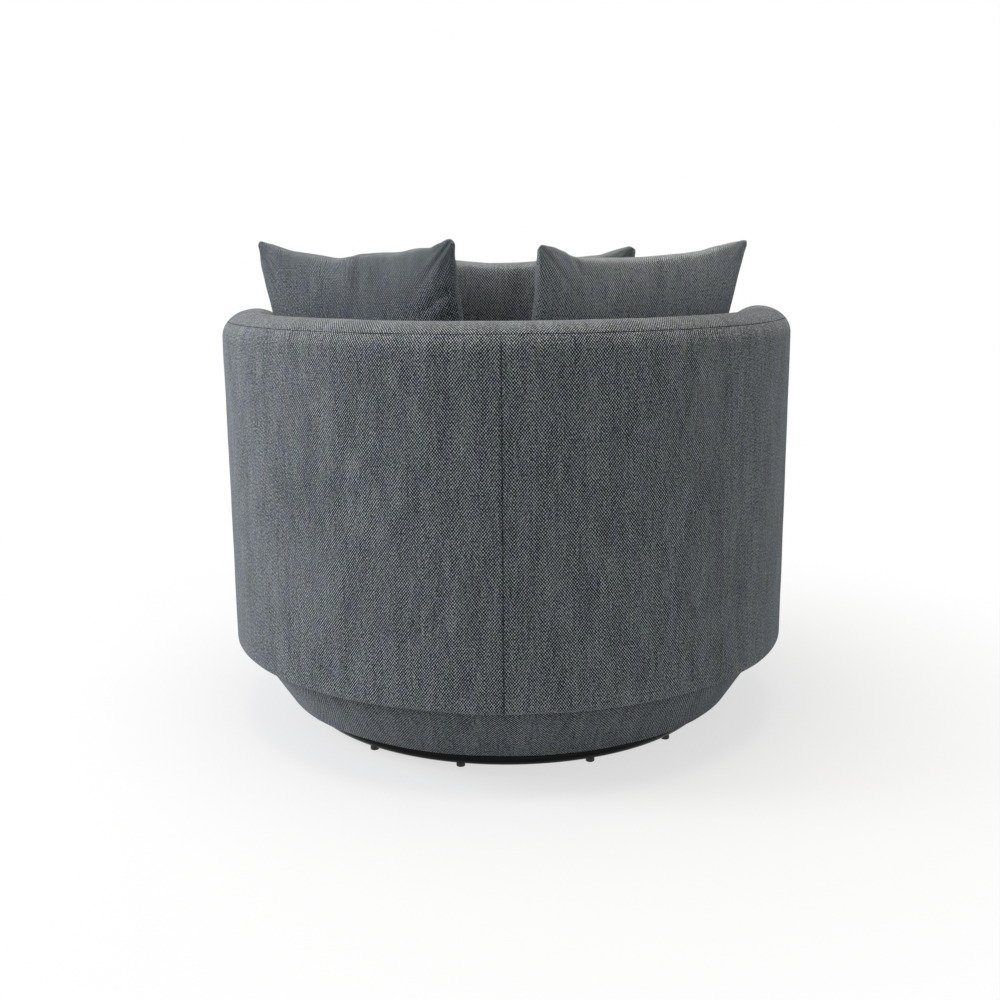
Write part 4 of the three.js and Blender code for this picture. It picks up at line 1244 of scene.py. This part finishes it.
def seat_rows():
    """(inset, share of the radius, height, distance from the nearest seam, panel) of each row."""
    height = SEAT_SEAM - SEAT_BOTTOM
    across = SEAT_INSIDE - SEAT_EDGE
    flat = [d * MM for d in FROM_SEAM] + [across * share for share in FURTHER_IN]
    rows = [(SEAT_EDGE, 0, SEAT_BOTTOM, across, "bottom")]
    rows += [(SEAT_EDGE, 1 - d / across, SEAT_BOTTOM, d, "bottom") for d in flat[::-1]]
    up = [d * MM for d in FROM_SEAM[1:]]
    for d in up + [height - d for d in up[::-1]]:
        drawn_in = abs(2 * d / height - 1) ** BULGE_POWER
        rows.append((SEAT_EDGE * drawn_in, 1, SEAT_BOTTOM + d, min(d, height - d), "border"))
    for d in flat:
        rows.append((SEAT_EDGE, 1 - d / across, seat_crown(1 - d / across), d, "top"))
    return rows + [(SEAT_EDGE, 0, SEAT_TOP, across, "top")]


def seat_point(row, angle):
    """The place of a row's point at an angle, before the cloth is drawn in."""
    inset, share, z = row[:3]
    rim = on_axis(seat_radius(angle) - inset, 0, angle)
    flat = SEAT_CENTRE + (rim - SEAT_CENTRE) * share
    return Vector((flat.x, flat.y, z))


FOLD_SPACING = 21 * MM
FOLD_REACH = 24 * MM


def creases(distance, along, size=1.5 * MM):
    """Folds that start at a seam and die out over a few centimetres."""
    fold = noise.noise(Vector((along / FOLD_SPACING, 5.7, distance / (100 * MM))))
    fading = math.exp(-distance / FOLD_REACH) * (1 - math.exp(-distance / (2 * MM)))
    return size * fold * fading


print("rows of points from the bottom's middle to the top's:", len(seat_rows()))

# %% [markdown]
# ## Spinning the cushion
# The spin takes two degrees a step round the back and short steps where the outline turns into
# the tongue. Then each point goes to its place, in at the seams and down where the filling has
# sunk a little.

# %% Make the seat cushion
SEAT_BACK = 138  # degrees on either side of the middle of the back, where the outline is round
SEAT_LEAD = 2.2  # degrees between the round part and the tongue's blend
SEAT_RUNS = [
    (2 * SEAT_BACK, 138),
    (SEAT_LEAD, 2),
    (TONGUE_BLEND, 10),
    (2 * SEAT_OPENING, 48),
    (TONGUE_BLEND, 10),
    (SEAT_LEAD, 2),
]
SEAT_SEAM_ROLL = 2.2 * MM
SEAT_CLEAR = 0.6 * MM  # the cloth keeps this much off the outline
rows = seat_rows()
section = [((SEAT_INSIDE - row[0]) * row[1], row[2]) for row in rows]
seat = spin_section("seat_cushion", section, -SEAT_BACK, SEAT_RUNS)
seat_stations = stations_of(seat, -SEAT_BACK)
outline_run = {}
last, total = None, 0.0
for angle in sorted({round(angle, 3) for station, angle in seat_stations}):
    edge = on_axis(seat_radius(angle), 0, angle)
    total += (edge - last).length if last else 0.0
    last = edge
    outline_run[angle] = total
for vertex, (station, angle) in zip(seat.data.vertices, seat_stations):
    to_seam, panel = rows[station][3:]
    place = seat_point(rows[station], angle)
    inward = Vector((-place.x, -place.y, 0)).normalized()
    inward.z = -1 if place.z > (SEAT_BOTTOM + SEAT_SEAM) / 2 else 1
    run = outline_run[round(angle, 3)]
    depth = roll_depth(to_seam, SEAT_SEAM_ROLL) + pucker(to_seam, run, 0.6 * MM)
    sink = swell(place, 1.6 * MM) * clamp(to_seam / (50 * MM)) if panel == "top" else 0.0
    fold = creases(to_seam, run) if panel != "bottom" else 0.0
    place += inward.normalized() * (depth + fold + SEAT_CLEAR)
    place.z -= max(0.0, sink)
    vertex.co = place
print("round the cushion's seam:", round(total, 2), "m")

# %% [markdown]
# ## Cloth of the cushion
# The panels' cloth is measured straight across, and the border's along the seam. Then the two
# ends of the spin and the two middles, which are still rings of points on one place, are merged.

# %% Lay the cushion's cloth
seat_uv = seat.data.uv_layers.new(name="cloth")
for face in seat.data.polygons:
    around = [seat_stations[v] for v in face.vertices]
    wraps = max(a for s, a in around) - min(a for s, a in around) > 180
    on_border = any(rows[s][4] == "border" for s, a in around)
    for loop in face.loop_indices:
        index = seat.data.loops[loop].vertex_index
        station, angle = seat_stations[index]
        at = seat.data.vertices[index].co
        run = outline_run[round(angle, 3)]
        if wraps and angle < 0:
            run = total + 10 * MM
        seat_uv.data[loop].uv = (run, at.z) if on_border else (at.x, at.y)
close_up(seat)
upholster(seat, "seat_cushion", "seat_cushion_cover", "seat_cushion_core", sharp=40)

# %% [markdown]
# ## Two small finishes
# The zip's tape is dull woven polyester. Its teeth, and the glides under the base, are moulded
# nylon. Each has one pattern that colours it and raises it a little.

# %% Tape and nylon


def zip_tape_finish():
    """Polyester tape, nearly black, with ribs across it."""
    material, tree, shader = new_material("zip_tape_polyester", Roughness=0.8, Sheen_Weight=0.2)
    in_metres = add_node(tree, "TexCoord").outputs["Object"]
    # The tape's ribs are 0.6 mm apart, and are drawn at 0.75 mm so that they show.
    ribs = add_node(tree, "TexWave", {"Vector": in_metres, "Scale": 420.0}, bands_direction="Z")
    speckle = add_node(tree, "TexNoise", {"Vector": in_metres, "Scale": 900.0})
    both = add_node(tree, "Math", {0: ribs.outputs["Fac"], 1: speckle}, operation="MULTIPLY")
    coat(tree, shader, both, ((0.1, "#1b1d1f"), (0.7, "#3a3d40")), both, 0.2 * MM, 0.6)
    return material


def moulded_nylon():
    """Glass-filled nylon, moulded: a soft black with a fine grain that dulls its gloss."""
    material, tree, shader = new_material("moulded_nylon", Roughness=0.42)
    in_metres = add_node(tree, "TexCoord").outputs["Object"]
    # The grain of the mould is 0.7 mm across.
    grain = add_node(tree, "TexNoise", {"Vector": in_metres, "Scale": 1500.0, "Detail": 2.0})
    coat(tree, shader, grain, ((0.3, "#0c0d0e"), (0.7, "#1a1b1d")), grain, 0.05 * MM)
    return material


nylon = moulded_nylon()
print("black finishes: zip tape and nylon")

# %% [markdown]
# ## Zip
# The cushion's cover comes off through a zip in the border, at the back. It has a woven tape and
# a row of moulded teeth. The tape's section is spun like the covers. The row starts as one
# bevelled tooth, is repeated in a straight line, and is laid round the cushion by turning each
# point's distance into an angle.

# %% Zip
ZIP_HEIGHT = 365.3 * MM
ZIP_RADIUS = 424.2 * MM
ZIP_ANGLE = 29.8  # degrees from the middle of the back to an end
TAPE_SECTION = [(-0.6, -2.1), (0.7, -2.1), (0.7, 2.1), (-0.6, 2.1), (-0.6, -2.1)]  # in mm
TOOTH_SIZE = (1.9 * MM, 1.2 * MM, 2.6 * MM)
TOOTH_EASE = 0.3 * MM
TOOTH_PITCH = 3 * MM
TOOTH_OUT = 0.9 * MM  # from the middle of the tape to the middle of a tooth

tape_places = [(ZIP_RADIUS + r * MM, ZIP_HEIGHT + z * MM) for r, z in TAPE_SECTION]
zip_tape = spin_section("zip_tape", tape_places, -ZIP_ANGLE, [(2 * ZIP_ANGLE, 40)])
close_up(zip_tape, caps=True)
zip_tape.data.materials.append(zip_tape_finish())
bpy.ops.mesh.primitive_cube_add(size=1)
teeth = named("zip_teeth")
size_and_ease(TOOTH_EASE, 1, TOOTH_SIZE)
tooth_count = int(2 * math.radians(ZIP_ANGLE) * ZIP_RADIUS / TOOTH_PITCH) - 1
finish_with(
    teeth,
    "ARRAY",
    count=tooth_count,
    use_relative_offset=False,
    use_constant_offset=True,
    constant_offset_displace=(TOOTH_PITCH, 0, 0),
)
for vertex in teeth.data.vertices:
    along = vertex.co.x - (tooth_count - 1) * TOOTH_PITCH / 2
    out = ZIP_RADIUS + TOOTH_OUT + vertex.co.y
    vertex.co = on_axis(out, ZIP_HEIGHT + vertex.co.z, math.degrees(along / ZIP_RADIUS))
teeth.data.materials.append(nylon)
for piece in (zip_tape, teeth):
    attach(piece, "seat_cushion")
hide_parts("seat_cushion_zip")
print("zip:", tooth_count, "teeth")

# %% [markdown]
# ## Enamel
# The base is stoved in gloss black. A gloss paint is never quite flat: it ripples from the
# sprayer, which breaks up the edges of a reflection, and dust makes it a little paler in places.

# %% Gloss enamel
ENAMEL = {"Roughness": 0.16, "Specular_IOR_Level": 0.12}


def gloss_enamel():
    """Stoved enamel on steel: deep black, a clear gloss, and the faint ripple of sprayed paint."""
    material, tree, shader = new_material("gloss_black_enamel", **ENAMEL)
    in_metres = add_node(tree, "TexCoord").outputs["Object"]
    # Sprayed enamel ripples at about 1.5 mm, and dust lies in patches of 25 mm.
    ripple = add_node(tree, "TexNoise", {"Vector": in_metres, "Scale": 650.0, "Detail": 1.0})
    dust = add_node(tree, "TexNoise", {"Vector": in_metres, "Scale": 40.0, "Detail": 3.0})
    coat(tree, shader, dust, ((0.35, "#030405"), (0.75, "#08090b")), ripple, 0.03 * MM, 0.4)
    return material


enamel = gloss_enamel()
print("enamel:", ENAMEL)

# %% [markdown]
# ## Base
# The tub turns on a ring of steel tube with two bars welded across it and a hub plate in the
# middle. The ring is a torus with enough segments to stay round where the picture sees it from
# the side. The bars are boxes with their edges eased, as drawn bar has.

# %% Base ring, bars and hub
RING_RADIUS = 400 * MM
RING_TUBE = 13 * MM
RING_HEIGHT = 19 * MM
BAR_SIZE = (2 * RING_RADIUS - 12 * MM, 30 * MM, 18 * MM)
BAR_HEIGHT = RING_HEIGHT + 1 * MM
BAR_EASE = 2.5 * MM
BAR_TURNS = (45, 135)
HUB_TOP = 32 * MM
HUB_RADIUS = 92 * MM
HUB_DEPTH = 11 * MM
HUB_EASE = 1.5 * MM

bpy.ops.mesh.primitive_torus_add(
    major_radius=RING_RADIUS,
    minor_radius=RING_TUBE,
    major_segments=192,
    minor_segments=32,
    location=(0, 0, RING_HEIGHT),
)
ring = named("base_ring")
bars = []
for number, turn in enumerate(BAR_TURNS, start=1):
    bpy.ops.mesh.primitive_cube_add(size=1, location=(0, 0, BAR_HEIGHT))
    bar = named(f"base_bar_{number}")
    size_and_ease(BAR_EASE, 3, BAR_SIZE)
    bar.rotation_euler.z = math.radians(turn)
    bars.append(bar)
bpy.ops.mesh.primitive_cylinder_add(
    radius=HUB_RADIUS, depth=HUB_DEPTH, vertices=96, location=(0, 0, HUB_TOP - HUB_DEPTH / 2)
)
hub = named("base_hub")
size_and_ease(HUB_EASE, 3)
print("ring:", len(ring.data.polygons), "faces, and", len(bars), "bars")

# %% [markdown]
# ## Welds
# Each bar is welded to the ring on both sides. A weld is a row of small overlapping scales, which
# a flattened sphere repeated along the joint shows well enough, because it sits in shadow.

# %% Welds
WELD_SCALES = 7
SCALE_RADIUS = 3 * MM
SCALE_ASIDE = 15.5 * MM  # from the middle of the bar
SCALE_RISE = 2 * MM
WELD_START = 200  # degrees round the ring's tube, from its outside upwards
WELD_RUN = 42
scales = []
for bar_end in [turn + half for half in (0, 180) for turn in BAR_TURNS]:
    turn = math.radians(bar_end)
    outwards = Vector((math.cos(turn), math.sin(turn), 0))
    sideways = Vector((-outwards.y, outwards.x, 0))
    for side in (-1, 1):
        for number in range(WELD_SCALES):
            share = number / (WELD_SCALES - 1)
            tube = math.radians(WELD_START - WELD_RUN * share)
            out = RING_RADIUS + RING_TUBE * math.cos(tube)
            bpy.ops.mesh.primitive_uv_sphere_add(segments=12, ring_count=6, radius=SCALE_RADIUS)
            scale = bpy.context.object
            scale.location = outwards * out + sideways * side * SCALE_ASIDE
            scale.location.z = RING_HEIGHT + RING_TUBE * math.sin(tube) + SCALE_RISE * share
            scale.scale = (1, 1, 0.8)
            scales.append(scale)
select_only(*scales)
bpy.ops.object.join()
weld = named("base_welds")
for piece in (ring, *bars, hub, weld):
    select_only(piece)
    bpy.ops.object.transform_apply(location=True, rotation=True, scale=True)
    smooth(piece)
    piece.data.materials.append(enamel)
    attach(piece, "base")
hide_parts("base_frame")
print("welds:", len(scales), "scales")

# %% [markdown]
# ## Glides
# Twelve black nylon glides carry the ring, in six pairs. Each is a stud with a softened foot. It
# is modelled once, on the axis, and copied to its twelve places, each copy with its own mesh.

# %% Glides
GLIDE_RADIUS = 8 * MM
GLIDE_HEIGHT = 9 * MM
GLIDE_EASE = 1.2 * MM
GLIDES = 12
FIRST_PAIR = -36  # degrees from the middle of the back
PAIR_SPREAD = 13  # degrees from the middle of a pair to each of its glides
bpy.ops.mesh.primitive_cylinder_add(
    radius=GLIDE_RADIUS, depth=GLIDE_HEIGHT, vertices=32, location=(0, 0, GLIDE_HEIGHT / 2)
)
pattern = bpy.context.object
size_and_ease(GLIDE_EASE, 3)
bpy.ops.object.transform_apply(location=True, rotation=True, scale=True)
for number in range(GLIDES):
    pair = FIRST_PAIR + 720 / GLIDES * (number // 2)
    angle = pair + PAIR_SPREAD * (1 if number % 2 else -1)
    glide = bpy.data.objects.new(f"glide_{number + 1:02d}", pattern.data.copy())
    bpy.context.scene.collection.objects.link(glide)
    glide.data.transform(Matrix.Translation(on_axis(RING_RADIUS, 0, angle)))
    glide.data.materials.append(nylon)
    smooth(glide)
    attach(glide, "base")
    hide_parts(f"floor_glide_{number + 1:02d}")
bpy.data.objects.remove(pattern)
print("glides:", GLIDES)

# %% [markdown]
# ## Spunbond
# Two sheets of black spunbond close the chair where nobody looks: a deck over the seat springs
# and a dust cover under the plinth. Spunbond is a thin felt with small welded dots.

# %% Spunbond
DOTS_PER_METRE = 330.0


def spunbond():
    """Thin black felt with rows of welded dots."""
    material, tree, shader = new_material("black_spunbond", Roughness=0.95, Sheen_Weight=0.15)
    in_metres = add_node(tree, "TexCoord").outputs["Object"]
    # The welded dots are 1 mm apart, and are drawn at 3 mm so that they show.
    rows_of_dots = {"Vector": in_metres, "Scale": DOTS_PER_METRE, "Randomness": 0.15}
    dots = add_node(tree, "TexVoronoi", rows_of_dots)
    fibres = add_node(tree, "TexNoise", {"Vector": in_metres, "Scale": 260.0, "Detail": 4.0})
    both = add_node(tree, "Math", {0: dots.outputs["Distance"], 1: fibres}, operation="MULTIPLY")
    coat(tree, shader, both, ((0.05, "#0b0b0d"), (0.4, "#232427")), both, 0.3 * MM, 0.7)
    return material


def finish_lining(sheet, node, thickness):
    """Thickens a lining and hands it over."""
    face_away(sheet, lambda at: Vector((at.x, at.y, -1)))
    finish_with(sheet, "SOLIDIFY", thickness=thickness, offset=-1)
    smooth(sheet)
    sheet.data.materials.append(lining)
    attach(sheet, "tub")
    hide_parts(node)
    print(sheet.name + ":", len(sheet.data.polygons), "faces")


lining = spunbond()
print("spunbond dots:", round(1 / DOTS_PER_METRE / MM, 1), "mm apart")

# %% [markdown]
# ## Dust lining
# The sheet below the plinth is trimmed square round the swivel plate and stapled along its edge.
# It is spun as a ring and then drawn in to the square hole, and it sags a little between the
# staples.

# %% Dust lining
DUST_HEIGHT = 41.3 * MM
DUST_RADIUS = 440 * MM
DUST_CUT = 88 * MM  # half the side of the square hole
DUST_THICK = 0.7 * MM
DUST_SAG = 0.35 * MM
DUST_WAVES = 24


def square_edge(angle):
    """How far the square hole's edge lies from the swivel axis at an angle."""
    turn = math.radians(angle)
    return DUST_CUT / max(abs(math.sin(turn)), abs(math.cos(turn)))


dust_shares = [i / 16 for i in range(17)]
dust_section = [(mix(DUST_CUT, DUST_RADIUS, share), DUST_HEIGHT) for share in dust_shares]
dust_cover = spin_section("dust_lining", dust_section, -180, [(360, 144)])
for vertex, (station, angle) in zip(dust_cover.data.vertices, stations_of(dust_cover, -180)):
    share = dust_shares[station]
    wave = 1 + math.sin(math.radians(DUST_WAVES * angle)) * share
    sag = DUST_SAG * math.sin(math.pi * share) * wave
    vertex.co = on_axis(mix(square_edge(angle), DUST_RADIUS, share), DUST_HEIGHT - sag, angle)
finish_lining(dust_cover, "dust_cover", DUST_THICK)

# %% [markdown]
# ## Deck lining
# The deck is a round sheet that lies on the springs. It dips a little between one spring and the
# next, and is flat again along its edge, where it is stapled to the seat ring.

# %% Deck lining
DECK_HEIGHT = 280.5 * MM
DECK_RADIUS = 427 * MM
DECK_THICK = 1.2 * MM
DECK_DIP = 1.1 * MM
SPRING_SPACING = 130 * MM
deck_section = [(DECK_RADIUS * i / 20, DECK_HEIGHT) for i in range(21)]
deck = spin_section("deck_lining", deck_section, -180, [(360, 120)])
for vertex in deck.data.vertices:
    reach = clamp(vertex.co.xy.length / DECK_RADIUS)
    ridge = math.cos(math.tau * vertex.co.x / SPRING_SPACING)
    vertex.co.z -= DECK_DIP * (1 - reach**4) * (0.5 - 0.5 * ridge)
finish_lining(deck, "seat_deck_cloth", DECK_THICK)

# %% [markdown]
# ## Boards
# Under the covers the chair is birch plywood and hardboard. Plywood shows two different faces:
# the figure of the peeled veneer on the flat, and its plies as stripes on a sawn edge. The
# direction of a face tells which of the two it is.

# %% Plywood and hardboard


def birch_plywood():
    """Rotary-cut birch: pale, with a slow figure. The sawn edges show plies about 1.4 mm thick."""
    material, tree, shader = new_material("birch_plywood", Roughness=0.62)
    in_metres = add_node(tree, "TexCoord").outputs["Object"]
    # The figure is about 110 mm long and 17 mm wide.
    stretch = {0: in_metres, 1: (9.0, 60.0, 9.0)}
    drawn_out = add_node(tree, "VectorMath", stretch, operation="MULTIPLY")
    slow = {"Vector": drawn_out, "Scale": 1.0, "Detail": 5.0, "Distortion": 0.8}
    figure = add_node(tree, "TexNoise", slow)
    face_stops = ((0.3, "#b98d5a"), (0.5, "#d3ab78"), (0.72, "#e2c497"))
    face_colour = add_node(tree, "ValToRGB", {"Fac": figure}, stops=face_stops)
    stripes = {"Vector": in_metres, "Scale": 225.0, "Distortion": 0.3}
    plies = add_node(tree, "TexWave", stripes, bands_direction="Z")
    edge_stops = ((0.3, "#8d6438"), (0.6, "#d6b07e"))
    edge_colour = add_node(tree, "ValToRGB", {"Fac": plies.outputs["Fac"]}, stops=edge_stops)
    normal = add_node(tree, "NewGeometry")
    parts = add_node(tree, "SeparateXYZ", {0: normal.outputs["Normal"]})
    upright = add_node(tree, "Math", {0: parts.outputs["Z"]}, operation="ABSOLUTE")
    flat = add_node(tree, "Math", {0: upright, 1: 0.7}, operation="GREATER_THAN")
    both = add_node(tree, "Mix", {"Factor": flat, 6: edge_colour, 7: face_colour}, data_type="RGBA")
    tree.links.new(both.outputs[2], shader.inputs["Base Color"])
    # The pores are 0.2 mm wide, and are drawn at 2.4 mm so that they show.
    pores = add_node(tree, "TexNoise", {"Vector": in_metres, "Scale": 420.0, "Detail": 2.0})
    bump = add_node(tree, "Bump", {"Height": pores, "Distance": 0.1 * MM, "Strength": 0.4})
    tree.links.new(bump.outputs[0], shader.inputs["Normal"])
    return material


def hardboard():
    """Pressed wood fibre: even brown with short darker fibres and a slight sheen."""
    material, tree, shader = new_material("hardboard", Roughness=0.55)
    in_metres = add_node(tree, "TexCoord").outputs["Object"]
    # The bundles of fibre are 2.6 mm across.
    fibres = add_node(tree, "TexNoise", {"Vector": in_metres, "Scale": 380.0, "Detail": 5.0})
    browns = ((0.3, "#5d4227"), (0.5, "#86663f"), (0.7, "#a58256"))
    coat(tree, shader, fibres, browns, fibres, 0.08 * MM)
    return material


FINISHES = {"plywood": birch_plywood(), "fibreboard": hardboard()}
print("boards:", ", ".join(FINISHES))

# %% [markdown]
# ## Wire and plated steel
# The springs are hard-drawn wire, and the swivel, its bolts and the staples are zinc-plated.

# %% Zinc and wire


def zinc_plate():
    """Bright zinc on pressed steel: a cool grey with cloudy crystals about 6 mm across."""
    material, tree, shader = new_material("zinc_plate", Metallic=1.0, Roughness=0.34)
    in_metres = add_node(tree, "TexCoord").outputs["Object"]
    crystals = add_node(tree, "TexVoronoi", {"Vector": in_metres, "Scale": 160.0})
    coat(tree, shader, crystals.outputs["Color"], ((0.2, "#a6abb0"), (0.8, "#c6cacd")))
    return material


def spring_wire():
    """Hard-drawn wire: dark grey, with stains of its drawing soap about 14 mm long."""
    material, tree, shader = new_material("hard_drawn_wire", Metallic=1.0, Roughness=0.42)
    in_metres = add_node(tree, "TexCoord").outputs["Object"]
    stain = add_node(tree, "TexNoise", {"Vector": in_metres, "Scale": 70.0, "Detail": 4.0})
    coat(tree, shader, stain, ((0.3, "#4d5053"), (0.7, "#7d8184")))
    return material


FINISHES["zinc_plated_steel"] = zinc_plate()
FINISHES["spring_steel"] = spring_wire()
print("metals:", ", ".join(list(FINISHES)[2:]))

# %% [markdown]
# ## Finishes for the construction
# The nodes of the construction keep their shape. Each gets its finish by the name of the material
# that the record gives it.

# %% Dress the construction
slot_of = {part["node"]: part["material_slot"] for part in frame["record"]["subparts"]}
dressed = 0
for name, node in frame["nodes"].items():
    if slot_of[name] in FINISHES:
        node.data.materials.clear()
        node.data.materials.append(FINISHES[slot_of[name]])
        dressed += 1
print("nodes with a new finish:", dressed)

# %% [markdown]
# ## Staples
# The dust lining is stapled all round. One eased bar is modelled at the origin and copied along
# the lining's edge, each copy turned to lie along it, and the copies are joined into one piece.

# %% Staples
STAPLES = 48
STAPLE_SIZE = (10 * MM, 1.1 * MM, 0.7 * MM)
STAPLE_EASE = 0.25 * MM
STAPLE_RADIUS = DUST_RADIUS - 7 * MM
STAPLE_HEIGHT = DUST_HEIGHT - 1 * MM
bpy.ops.mesh.primitive_cube_add(size=1)
staple = bpy.context.object
size_and_ease(STAPLE_EASE, 1, STAPLE_SIZE)
copies = []
for number in range(STAPLES):
    angle = 360 * number / STAPLES
    copy = bpy.data.objects.new("staple", staple.data.copy())
    bpy.context.scene.collection.objects.link(copy)
    lay = Matrix.Translation(on_axis(STAPLE_RADIUS, STAPLE_HEIGHT, angle))
    copy.data.transform(lay @ Matrix.Rotation(math.radians(-angle), 4, "Z"))
    copies.append(copy)
bpy.data.objects.remove(staple)
select_only(*copies)
bpy.ops.object.join()
staples = named("dust_lining_staples")
staples.data.materials.append(FINISHES["zinc_plated_steel"])
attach(staples, "tub")
print("staples:", STAPLES)

# %% [markdown]
# ## Floor
# The chair stands on a pale floor that runs out to plain white, so that only a soft shadow shows.
# The camera sees the floor paler than the chair does, which keeps the light that it throws up
# under the tub low.

# %% Floor
FLOOR_SIZE = 24
SHADOW_REACH = 0.5  # metres from the swivel axis, to where the floor starts to run out
WHITE_FROM = 1.5
WHITE_NEAR = 0.66  # how much of the floor is plain white already inside that reach


def clear_rays(tree):
    """1 for a ray that shows the background: the camera's, a reflection's or a pane's."""
    light_path = add_node(tree, "LightPath")
    clear = light_path.outputs["Is Camera Ray"]
    for kind in ("Is Glossy Ray", "Is Transmission Ray"):
        either = {0: clear, 1: light_path.outputs[kind]}
        clear = add_node(tree, "Math", either, operation="MAXIMUM").outputs[0]
    return clear


def pale_floor():
    """A matt floor that throws up less light than it shows, and turns to white further out."""
    material, tree, shader = new_material("pale_floor", Roughness=0.9)
    shades = {"Factor": clear_rays(tree), 6: linear("#bcbcbc"), 7: linear("#f7f7f7")}
    shown = add_node(tree, "Mix", shades, data_type="RGBA")
    tree.links.new(shown.outputs[2], shader.inputs["Base Color"])
    place = add_node(tree, "TexCoord")
    reach = add_node(tree, "VectorMath", {0: place.outputs["Object"]}, operation="LENGTH")
    fade = {
        "Value": reach.outputs["Value"],
        "From Min": SHADOW_REACH,
        "From Max": WHITE_FROM,
        "To Min": WHITE_NEAR,
        "To Max": 1.0,
    }
    far = add_node(tree, "MapRange", fade, interpolation_type="SMOOTHSTEP")
    white = add_node(tree, "Emission", {"Color": linear("#ffffff"), "Strength": 1.0})
    seen = add_node(tree, "Math", {0: clear_rays(tree), 1: far}, operation="MULTIPLY")
    both = add_node(tree, "MixShader", {0: seen, 1: shader, 2: white})
    tree.links.new(both.outputs[0], tree.nodes["Material Output"].inputs["Surface"])
    return material


bpy.ops.mesh.primitive_plane_add(size=FLOOR_SIZE, location=(0, 0, 0))
floor = bpy.context.object
floor.name = "floor"
floor.data.materials.append(pale_floor())
print("floor:", FLOOR_SIZE, "m wide")

# %% [markdown]
# ## Light
# A broad soft light from the left of the picture, a warm one overhead and a weak one on the right
# give the cloth its turn from a light left side to a darker middle. The room around is a pale
# grey that only the chair sees: the picture shows it white.

# %% World and lamps
ROOM_LIGHT = 0.44
AIM = Vector((0, 0, 0.5))
LAMPS = {
    "key": ((3.5, 0.6, 2.0), 1.6, 89, "#f6f7ff"),
    "overhead": ((0.0, 0.4, 3.1), 2.2, 46, "#fff4e2"),
    "fill": ((-3.0, 1.3, 1.7), 2.0, 4, "#ffffff"),
}


def pale_room():
    """A world that lights the chair with a pale grey and shows the camera plain white."""
    world = bpy.data.worlds.new("studio")
    world.use_nodes = True
    tree = world.node_tree
    room = tree.nodes["Background"]
    room.inputs["Color"].default_value = linear("#e9edf2")
    room.inputs["Strength"].default_value = ROOM_LIGHT
    white = add_node(tree, "Background", {"Color": linear("#ffffff"), "Strength": 1.0})
    mixed = add_node(tree, "MixShader", {0: clear_rays(tree), 1: room, 2: white})
    tree.links.new(mixed.outputs[0], tree.nodes["World Output"].inputs["Surface"])
    bpy.context.scene.world = world


def soft_lamp(name, place, size, power, colour):
    """A round lamp of a size in metres and a power in watts, turned to the middle of the chair."""
    data = bpy.data.lights.new(name, "AREA")
    data.shape = "DISK"
    data.size = size
    data.energy = power
    data.color = linear(colour)[:3]
    lamp = bpy.data.objects.new(name, data)
    lamp.location = place
    lamp.rotation_euler = (AIM - Vector(place)).to_track_quat("-Z", "Y").to_euler()
    bpy.context.scene.collection.objects.link(lamp)


pale_room()
for name, (place, size, power, colour) in LAMPS.items():
    soft_lamp(name, place, size, power, colour)
    print(name, "lamp:", power, "W")
bpy.context.scene.view_settings.view_transform = "Standard"
